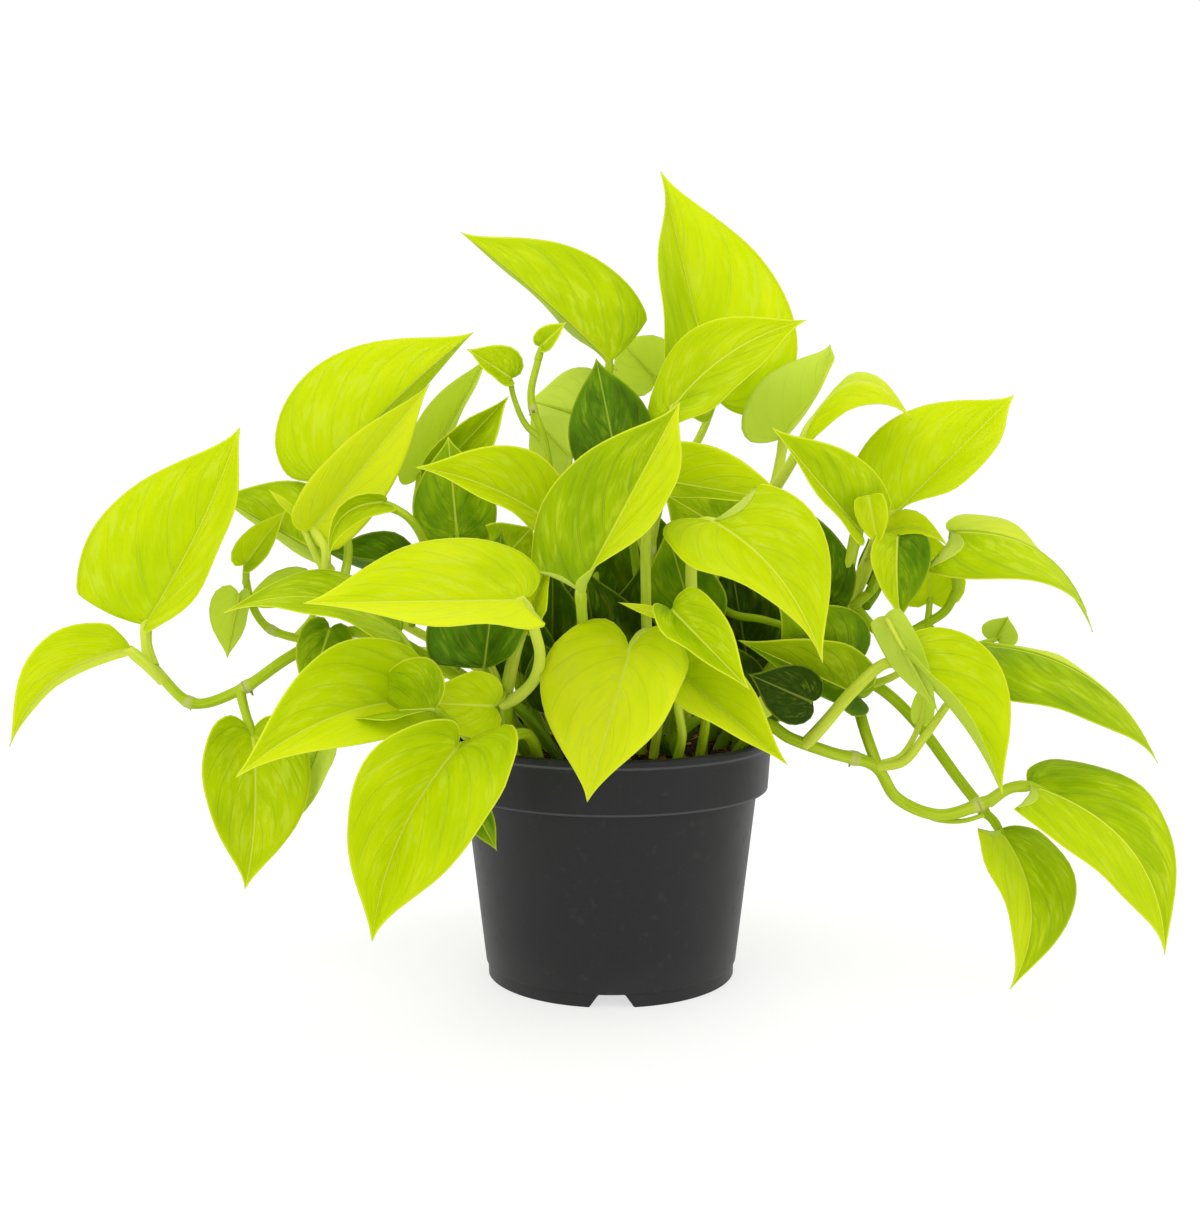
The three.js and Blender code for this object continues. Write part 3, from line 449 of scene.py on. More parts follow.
potLook = dict(
    black=rgb(19, 19, 21),
    dust=rgb(56, 55, 54),
    broadScale=30.0,
    fineScale=1600.0,
    scuffScale=160.0,
    scuffBand=(0.58, 0.74),
    scuffs=0.25,
    splash=0.3,
    splashTop=(0.004, 0.03),
    # painted highlights: a lighter grey line round the rim bead and along the collar's lower edge, where
    # light gleams on them
    edge=rgb(98, 98, 102),
    rimLine=0.1196,
    rimSoft=(0.0002, 0.0009),
    collarLine=0.0973,
    collarSoft=(0.0002, 0.0008),
    collarWear=0.35,
    bump=0.2,
    depth=0.0003,
    roughness=0.4,
    specular=0.32,
)


def potFinish():
    look = potLook
    material, tree = newMaterial("blackNurseryPlastic")
    place = tree.objectPlace()
    height = tree.add("ShaderNodeSeparateXYZ", {}, {0: place})["Z"]
    broad = tree.clouds(place, look["broadScale"], 3.0)
    fine = tree.clouds(place, look["fineScale"], 2.0)
    scuff = tree.ease(tree.clouds(place, look["scuffScale"], 5.0), *look["scuffBand"])
    low = 1 - tree.ease(height, *look["splashTop"])
    dust = scuff * look["scuffs"] + low * broad * look["splash"]
    color = tree.blend(dust, look["black"], look["dust"])
    # painted highlights: lighter lines on the rim bead and the collar's lower edge, the rim's fading in and
    # out with the broad noise
    rimLine = 1 - tree.ease(tree.maths("ABSOLUTE", height - look["rimLine"]), *look["rimSoft"])
    collarLine = 1 - tree.ease(tree.maths("ABSOLUTE", height - look["collarLine"]), *look["collarSoft"])
    paintedHighlights = rimLine * (0.1 + 0.6 * broad) + collarLine * look["collarWear"]
    color = tree.blend(paintedHighlights, color, look["edge"])
    relief = fine * 0.6 + broad * 0.8
    roughness = look["roughness"] + broad * 0.14 + scuff * 0.1
    surfaceOut(tree, tree.skin(color, roughness, look["specular"], relief, look["bump"], look["depth"]))
    return material


soilLook = dict(
    dark=rgb(16, 9, 4),
    light=rgb(54, 31, 14),
    crumbs=420.0,
    clods=90.0,
    bump=0.9,
    depth=0.0015,
    roughness=0.86,
    specular=0.08,
    bits=[
        (0.0, rgb(24, 15, 10)),
        (0.35, rgb(74, 38, 14)),
        (0.55, rgb(150, 82, 24)),
        (0.78, rgb(206, 138, 40)),
        (1.0, rgb(236, 200, 92)),
    ],
    bitGrain=900.0,
    bitGrainShade=0.35,
    bitBump=0.6,
    bitDepth=0.0005,
    bitRoughness=0.8,
    bitSpecular=0.15,
)


def soilFinish():
    look = soilLook
    material, tree = newMaterial("pottingSoil")
    place = tree.objectPlace()
    crumb = tree.clouds(place, look["crumbs"], 4.0)
    clod = tree.clouds(place, look["clods"], 3.0)
    color = tree.blend(tree.ease(crumb, 0.4, 0.75), look["dark"], look["light"])
    relief = crumb * 0.7 + clod
    roughness = look["roughness"] + crumb * 0.1
    surfaceOut(tree, tree.skin(color, roughness, look["specular"], relief, look["bump"], look["depth"]))
    return material


def litterFinish():
    look = soilLook
    material, tree = newMaterial("barkAndFibre")
    grain = tree.clouds(tree.objectPlace(), look["bitGrain"], 3.0)
    color = tree.ramp(tree.attribute("bitTone") + (grain - 0.5) * look["bitGrainShade"], look["bits"])
    roughness = look["bitRoughness"] + 0.15 * grain
    skin = tree.skin(color, roughness, look["bitSpecular"], grain, look["bitBump"], look["bitDepth"])
    surfaceOut(tree, skin)
    return material


def floorFinish():
    material, tree = newMaterial("paleStudioFloor")
    haze = tree.clouds(tree.objectPlace(), studio["hazeScale"], 2.0)
    color = rgb(*studio["floorShade"])
    roughness = studio["floorRough"] + haze * studio["floorHaze"]
    glow = {"Emission Color": rgb(255, 255, 255), "Emission Strength": studio["floorGlow"]}
    surfaceOut(tree, tree.plain(color, roughness, studio["floorSpecular"], glow))
    return material


leafMaterial = leafFinish()
stalkMaterial = stalkFinish()
potMaterial = potFinish()
soilMaterial = soilFinish()
litterMaterial = litterFinish()
print("finishes made")


def addStage():
    half = studio["floorSize"] / 2
    corners = [(-half, -half, 0), (half, -half, 0), (half, half, 0), (-half, half, 0)]
    floor = meshObject("studioFloor", corners, [], [(0, 1, 2, 3)])
    floor.data.materials.append(floorFinish())
    world = bpy.data.worlds.new("whiteSurround")
    world.use_nodes = True
    backdrop = world.node_tree.nodes["Background"].inputs
    backdrop["Color"].default_value = (1, 1, 1, 1)
    backdrop["Strength"].default_value = studio["surround"]
    scene.world = world


addStage()


# Curves and blades

outline = [
    (0, 0), (-0.07, 0.14), (-0.115, 0.4), (-0.06, 0.72), (0.07, 0.93), (0.23, 1),
    (0.4, 0.945), (0.57, 0.77), (0.72, 0.51), (0.84, 0.255), (0.93, 0.085), (1, 0),
]

bladeLook = dict(
    thick=0.5,
    thinEdge=0.28,
    rowEvery=2.7,
    fewestRows=12,
    mostRows=44,
    columns=(0, 0.03, 0.085, 0.18, 0.31, 0.46, 0.62, 0.78, 0.91, 1),
    lobeReach=0.12,
    lobeShare=0.19,
    veinLag=1.6,
    veinSweep=1.4,
    curlRise=2.6,
    twistHeart=0.4,
    cup=0.12,
    ripple=0.04,
    rippleRate=11,
    rippleShift=2.1,
    rearLift=70,
    groove=0.45,
    grooveWidth=1.3,
    grooveFade=1.2,
    ruffle=0.012,
    quickRuffle=0.4,
    ruffleFade=1.6,
    slowWaves=(5, 9),
    quickWaves=(13, 19),
    phases=(0, 6.3),
    baseShade=0.25,
)

stalkLook.update(
    sides=10,
    step=2.2,
    foot=2.6,
    end=2.0,
    smallFoot=2.1,
    smallEnd=1.3,
    taper=0.7,
    neckAhead=0.8,
    neckSunk=0.75,
    neckSwell=0.16,
    neckReach=4,
    neckWidth=3,
    ribStart=1.1,
    ribEnd=0.22,
    ribReach=(0.05, 0.9),
    ribSteps=14,
    ribClear=0.25,
    bladeTone=(0.25, 0.62),
    paleTip=0.15,
    knotReach=2.6,
    knotSwell=1.3,
    nubLength=2.6,
    nubRadius=0.9,
    nubSides=7,
    nubTop=0.35,
    nubTone=0.2,
    nubSize=(0.6, 1.1),
    nubShift=1.5,
    nubSpread=0.8,
    nubSunk=0.85,
)


def splineAt(share):  # half the blade's outline, on a uniform Catmull-Rom curve
    place = share * (len(outline) - 1)
    i = min(int(place), len(outline) - 2)
    t = place - i
    p = [np.array(outline[min(max(i + k, 0), len(outline) - 1)]) for k in (-1, 0, 1, 2)]
    slope0 = (p[2] - p[0]) / 2
    slope1 = (p[3] - p[1]) / 2
    cubic = 2 * p[1] - 2 * p[2] + slope0 + slope1
    square = -3 * p[1] + 3 * p[2] - 2 * slope0 - slope1
    return ((cubic * t + square) * t + slope0) * t + p[1]


def runOf(path):  # the length up to each point
    return np.concatenate(([0], np.cumsum(np.linalg.norm(np.diff(path, axis=0), axis=1))))


def smoothPath(points, step, parts=24):  # centripetal Catmull-Rom, resampled at even steps
    points = [np.array(p, float) for p in points]
    ends = [2 * points[0] - points[1], *points, 2 * points[-1] - points[-2]]
    fine = [points[0]]
    for p0, p1, p2, p3 in zip(ends, ends[1:], ends[2:], ends[3:]):
        pairs = ((p0, p1), (p1, p2), (p2, p3))
        d0, d1, d2 = (max(np.linalg.norm(b - a), 1e-6) ** 0.5 for a, b in pairs)
        m1 = ((p1 - p0) / d0 - (p2 - p0) / (d0 + d1) + (p2 - p1) / d1) * d1
        m2 = ((p2 - p1) / d1 - (p3 - p1) / (d1 + d2) + (p3 - p2) / d2) * d1
        for k in range(1, parts + 1):
            t = k / parts
            cubic = 2 * p1 - 2 * p2 + m1 + m2
            square = -3 * p1 + 3 * p2 - 2 * m1 - m2
            fine.append(((cubic * t + square) * t + m1) * t + p1)
    fine = np.array(fine)
    run = runOf(fine)
    count = max(int(run[-1] / step), 3) + 1
    stops = np.linspace(0, run[-1], count)
    return np.stack([np.interp(stops, run, fine[:, k]) for k in range(3)], axis=1), stops


def placed(thing, point):  # what the photo doesn't show is given in mm
    return np.array(point, float) if thing.get("hidden") else at(*point)


def unit(vector):
    return vector / np.linalg.norm(vector)


def bladeFrame(leaf):
    base = placed(leaf, leaf["base"])
    axis = placed(leaf, leaf["tip"]) - base
    length = np.linalg.norm(axis)
    axis = axis / length
    facing = np.array(photo["eye"]) - base
    if leaf["hidden"]:
        facing = np.array((base[0], base[1], bladeLook["rearLift"]))
    out = unit(facing - axis * facing.dot(axis))
    return dict(base=base, axis=axis, out=out, right=np.cross(axis, out), length=length)


def bladePoint(leaf, spot, along, side, across):
    length = spot["length"]
    half = leaf["wide"] * length
    bowed = 4 * along * (1 - along) * length
    curled = bladeLook["curlRise"] * (along - along ** 3) * length
    twist = math.radians(leaf["twist"]) * (along - bladeLook["twistHeart"])
    lift = math.radians(leaf["turn"][0 if side < 0 else 1]) + side * twist
    droop = bladeLook["cup"] * half * across ** 2 * (-1 if leaf["under"] else 1)
    wave = math.sin(bladeLook["rippleRate"] * along + bladeLook["rippleShift"] * side)
    drop = bladeLook["ripple"] * half * across ** 2 * wave - droop
    drop += leaf["ruffles"](along, side) * length * across ** 3
    sideways = half * across * math.cos(lift) * side - side * math.sin(lift) * drop
    outwards = half * across * math.sin(lift) + math.cos(lift) * drop
    return (
        spot["base"]
        + spot["axis"] * along * length
        + spot["right"] * (leaf["bow"][0] * bowed + leaf["curl"][0] * curled + sideways)
        + spot["out"] * (leaf["bow"][1] * bowed + leaf["curl"][1] * curled + outwards)
    )


def bladeRows(leaf, spot):  # the grid of one side: places, and what the finish reads
    rows = spot["length"] / bladeLook["rowEvery"]
    rows = int(min(max(rows, bladeLook["fewestRows"]), bladeLook["mostRows"]))
    reachSpan = 1 + bladeLook["lobeReach"]
    grid = {}
    for side in (-1, 1):
        for i in range(rows + 1):
            share = i / rows
            x, y = splineAt(share)
            reach = x * leaf["lobe"][0 if side < 0 else 1] if x < 0 else x
            past = max(x + bladeLook["lobeReach"], 0) / reachSpan if share >= bladeLook["lobeShare"] else 0
            rib = past ** bladeLook["veinLag"]
            margin = bladePoint(leaf, spot, reach, side, y)
            heart = bladePoint(leaf, spot, rib, side, 0)
            wide = np.linalg.norm(margin - heart)
            for j, part in enumerate(bladeLook["columns"]):
                along = rib + (reach - rib) * part ** bladeLook["veinSweep"]
                point = bladePoint(leaf, spot, along, side, part * y)
                grid[side, i, j] = (point, share, side * part, part * wide, (1 - part) * wide)
    return rows, grid


def bladeMesh(leaf):
    spot = bladeFrame(leaf)
    rows, grid = bladeRows(leaf, spot)
    last = len(bladeLook["columns"]) - 1
    points, data, keys = [], [], {}

    def corner(side, i, j):
        point, along, across, fromRib, fromEdge = grid[side, i, j]
        key = tuple(np.round(point, 3))
        if key not in keys:
            keys[key] = len(points)
            points.append(point)
            data.append((along, across, fromRib, fromEdge))
        return keys[key]

    faces = []
    for side in (-1, 1):
        for i in range(rows):
            for j in range(last):
                quad = [corner(side, i, j), corner(side, i, j + 1)]
                quad += [corner(side, i + 1, j + 1), corner(side, i + 1, j)]
                ring = [v for k, v in enumerate(quad) if v != quad[k - 1]]
                if len(set(ring)) < 3 or len(set(ring)) != len(ring):
                    continue
                faces.append(ring if side > 0 else ring[::-1])
    points = np.array(points)
    data = np.array(data)
    normals = vertexNormals(points, faces)
    thick = bladeLook["thick"] + (bladeLook["thinEdge"] - bladeLook["thick"]) * data[:, 1] ** 2
    groove = bladeLook["groove"] * np.exp(-((data[:, 2] / bladeLook["grooveWidth"]) ** 2))
    groove = groove * np.minimum(1, bladeLook["grooveFade"] * (1 - data[:, 0]))
    groove = groove * (-1 if leaf["under"] else 1)
    front = points - normals * groove[:, None]
    back = front - normals * thick[:, None]
    count = len(points)
    edges = {(a, b) for face in faces for a, b in zip(face, face[1:] + face[:1])}
    rim = [(b, a, a + count, b + count) for a, b in sorted(edges) if (b, a) not in edges]
    under = [tuple(v + count for v in reversed(face)) for face in faces]
    # painted light and shade: each half's tone is raised or lowered by the leaf's shade pair
    tone = leaf["tone"] + np.where(data[:, 1] < 0, leaf["shade"][0], leaf["shade"][1])
    tone = tone * (1 - bladeLook["baseShade"] * (1 - data[:, 0]) ** 4)
    flip = 1.0 if leaf["under"] else 0.0
    columns = dict(
        tone=np.tile(tone, 2),
        beneath=np.concatenate([np.full(count, flip), np.full(count, 1 - flip)]),
        along=np.tile(data[:, 0], 2),
        across=np.tile(data[:, 1], 2),
        fromRib=np.tile(data[:, 2], 2),
        fromEdge=np.tile(data[:, 3], 2),
        seed=np.full(2 * count, leaf["seed"]),
    )
    return np.concatenate([front, back]), [tuple(f) for f in faces] + under + rim, columns


def vertexNormals(points, faces):
    normals = np.zeros_like(points)
    for face in faces:
        for k in range(1, len(face) - 1):
            a, b, c = (points[face[m]] for m in (0, k, k + 1))
            across = np.cross(b - a, c - a)
            for v in (face[0], face[k], face[k + 1]):
                normals[v] += across
    return normals / np.maximum(np.linalg.norm(normals, axis=1), 1e-9)[:, None]


def feetOf(thing):  # what stands in the soil goes straight down into it
    if "foot" not in thing:
        return []
    return [(*thing["foot"], plantLook[height]) for height in ("rootEnd", "footLow", "footHigh")]


def lowShade(path):  # stalks are darker near the soil, inside the rim
    rise = (path[:, 2] - plantLook["footLow"]) / plantLook["paleAbove"]
    inside = np.hypot(path[:, 0], path[:, 1]) < plantLook["rim"]
    return plantLook["lowShade"] * np.clip(1 - rise, 0, 1) * inside


def stalkPath(leaf):  # from the stem up to the blade, and on as the rib under it
    look = stalkLook
    spot = bladeFrame(leaf)
    below = 1 if leaf["under"] else -1
    radii = ("smallFoot", "smallEnd") if "within" in leaf else ("foot", "end")
    thick, thin = (look[key] * leaf["girth"] for key in radii)
    bare = [*feetOf(leaf), *(placed(leaf, p) for p in leaf["stalk"])]
    neck = spot["base"] + spot["axis"] * look["neckAhead"] + spot["out"] * below * thin * look["neckSunk"]
    bare, run = smoothPath([*bare, neck], look["step"])
    share = run / run[-1]
    radius = thick + (thin - thick) * share ** look["taper"]
    fromNeck = (run - run[-1] + look["neckReach"]) / look["neckWidth"]
    radius = radius * (1 + look["neckSwell"] * np.exp(-(fromNeck ** 2)))
    shares = np.linspace(*look["ribReach"], look["ribSteps"])
    rib = []
    ribRadius = look["ribStart"] * (look[radii[1]] / look["end"]) * (1 - shares) + look["ribEnd"]
    for along, girth in zip(shares, ribRadius):
        depth = bladeLook["groove"] * min(1, bladeLook["grooveFade"] * (1 - along))
        depth += look["ribClear"] + girth
        rib.append(bladePoint(leaf, spot, along, 1, 0) + spot["out"] * below * depth)
    path = np.concatenate([bare, rib])
    dark, share = look["bladeTone"]
    tone = dark + share * leaf["tone"] + leaf["stalkTone"] - lowShade(path)
    radius = np.concatenate([radius, ribRadius])
    return dict(path=path, radius=radius, run=runOf(path), tone=tone, knot=np.zeros(len(path)))


def stemPath(stem):
    points = [*feetOf(stem), *(placed(stem, p) for p in stem["path"])]
    path, run = smoothPath(points, stalkLook["step"])
    share = run / run[-1]
    thick, thin = stem["thick"]
    radius = thick + (thin - thick) * share
    knot = np.zeros(len(path))
    for place in stem.get("knots", ()):
        near = np.exp(-(((share - place) * run[-1] / stalkLook["knotReach"]) ** 2))
        knot = np.maximum(knot, near)
    radius = radius * (1 + (stalkLook["knotSwell"] - 1) * knot)
    tone = stem.get("tone", 0.5) + stalkLook["paleTip"] * share - lowShade(path)
    return dict(path=path, radius=radius, run=run, tone=tone, knot=knot)


def nubsOf(stem, data, seeds):  # short root tips at the knots, on the lower side
    nubs = []
    spread, shift = stalkLook["nubSpread"], stalkLook["nubShift"]
    for place in stem.get("knots", ()):
        i = min(int(place * (len(data["path"]) - 1)), len(data["path"]) - 2)
        heading = unit(data["path"][i + 1] - data["path"][i])
        for tip in range(seeds.choice((1, 2))):
            aim = np.array((seeds.uniform(-spread, spread), seeds.uniform(-spread, spread), -1.0))
            aim = unit(aim - heading * aim.dot(heading))
            spot = data["path"][i] + heading * seeds.uniform(-shift, shift)
            spot = spot + aim * data["radius"][i] * stalkLook["nubSunk"]
            nubs.append((spot, aim, seeds.uniform(*stalkLook["nubSize"])))
    return nubs


# The plant: each stem and leaf by photo pixels and a depth in mm, or in mm where hidden

plantLook = dict(
    rootEnd=90,
    footLow=101,
    footHigh=113,
    paleAbove=50,
    lowShade=0.45,
    rim=84,
    seed=11,
)

# Usual values of a leaf. wide is half its width over its length. Pairs are for its left and right
# halves, but bow and curl move the midrib sideways and outwards. turn folds a half towards the eye, in
# degrees, and lobe stretches it behind the base. under shows the underside. A leaf has a foot in mm
# where it stands in the soil, and is part of the piece that within names. tone is the leaf's
# lightness, partly its own colour and partly painted light and shade for where it stands; shade is
# painted light and shade added to each half's tone.
leafUsual = dict(
    wide=0.36, turn=(0, 0), bow=(0, 0.04), curl=(0, 0), twist=0, lobe=(1, 1), under=False,
    hidden=False, stalk=(), tone=0.6, shade=(0, 0), girth=1, stalkTone=0.1,
)

stems = {
    "stem_left": dict(
        foot=(-40, -30), thick=(3.4, 2.5), tone=0.58, knots=(0.78, 0.9),
        path=[
            (488, 700, -34), (440, 667, -44), (385, 636, -50), (335, 634, -50), (288, 658, -48),
            (240, 690, -46), (192, 703, -44), (152, 666, -42),
        ],
    ),
    "stem_left_back": dict(
        foot=(-40, 2), thick=(3, 2), tone=0.6, knots=(0.86,),
        path=[
            (470, 680, 0), (400, 648, -4), (345, 642, -10), (296, 638, -14), (266, 626, -14),
            (251, 602, -14), (246, 580, -14),
        ],
    ),
    "stem_left_sprout": dict(
        foot=(-28, -18), thick=(3.2, 1.6), tone=0.8, knots=(0.8,),
        path=[
            (480, 670, -20), (410, 628, -24), (350, 596, -30), (322, 566, -32), (308, 538, -32),
            (297, 512, -32),
        ],
    ),
    "stem_front_left": dict(
        foot=(-50, -44), thick=(3.2, 3), knots=(0.98,), path=[(507, 712, -54), (504, 690, -62)],
    ),
    "stem_centre_left": dict(
        foot=(-20, -8), thick=(3.3, 1.8), tone=0.6, knots=(0.88,),
        path=[
            (566, 640, -2), (556, 560, 6), (553, 500, 12), (544, 440, 18), (531, 398, 20), (539, 356, 20),
        ],
    ),
    "stem_centre": dict(
        foot=(6, 4), thick=(3.4, 2.6), tone=0.6, knots=(0.7, 0.97),
        path=[(634, 640, 6), (648, 560, 12), (660, 490, 18), (668, 446, 20)],
    ),
    "stem_centre_right": dict(
        foot=(30, 2), thick=(3.3, 2.5), tone=0.6, knots=(0.7, 0.97),
        path=[(694, 640, 4), (728, 570, 8), (760, 520, 10), (776, 486, 10)],
    ),
    "stem_right": dict(
        foot=(54, -8), thick=(3.4, 2.2), knots=(0.42, 0.76),
        path=[
            (768, 672, -8), (800, 634, -14), (828, 612, -18), (852, 607, -18), (878, 631, -16),
            (903, 634, -14), (925, 624, -12), (946, 610, -10), (957, 588, -10),
        ],
    ),
    "stem_right_long": dict(
        foot=(50, 16), thick=(3.3, 2.8), tone=0.5, knots=(0.56, 0.98),
        path=[
            (770, 660, 12), (810, 650, 4), (846, 670, -2), (884, 691, -6), (917, 723, -8), (958, 778, -10),
            (986, 814, -12),
        ],
    ),
    "stem_right_low": dict(
        foot=(60, -30), thick=(3, 3), tone=0.62, knots=(0.55, 0.96),
        path=[
            (764, 724, -36), (790, 738, -38), (832, 753, -38), (875, 766, -36), (897, 798, -36),
            (940, 815, -38), (992, 800, -40),
        ],
    ),
    "stem_back_left": dict(
        foot=(-30, 36), thick=(3.2, 2), knots=(0.6, 0.82), hidden=True,
        path=[(-40, 58, 142), (-56, 82, 154), (-72, 98, 146), (-76, 108, 122), (-66, 114, 96)],
    ),
    "stem_back": dict(
        foot=(2, 44), thick=(3.2, 2), knots=(0.66, 0.84), hidden=True,
        path=[(-2, 64, 150), (-6, 86, 160), (-4, 106, 146), (4, 118, 120)],
    ),
    "stem_back_right": dict(
        foot=(30, 38), thick=(3.2, 2), knots=(0.66, 0.84), hidden=True,
        path=[(42, 60, 146), (58, 82, 156), (74, 96, 144), (78, 106, 120)],
    ),
}

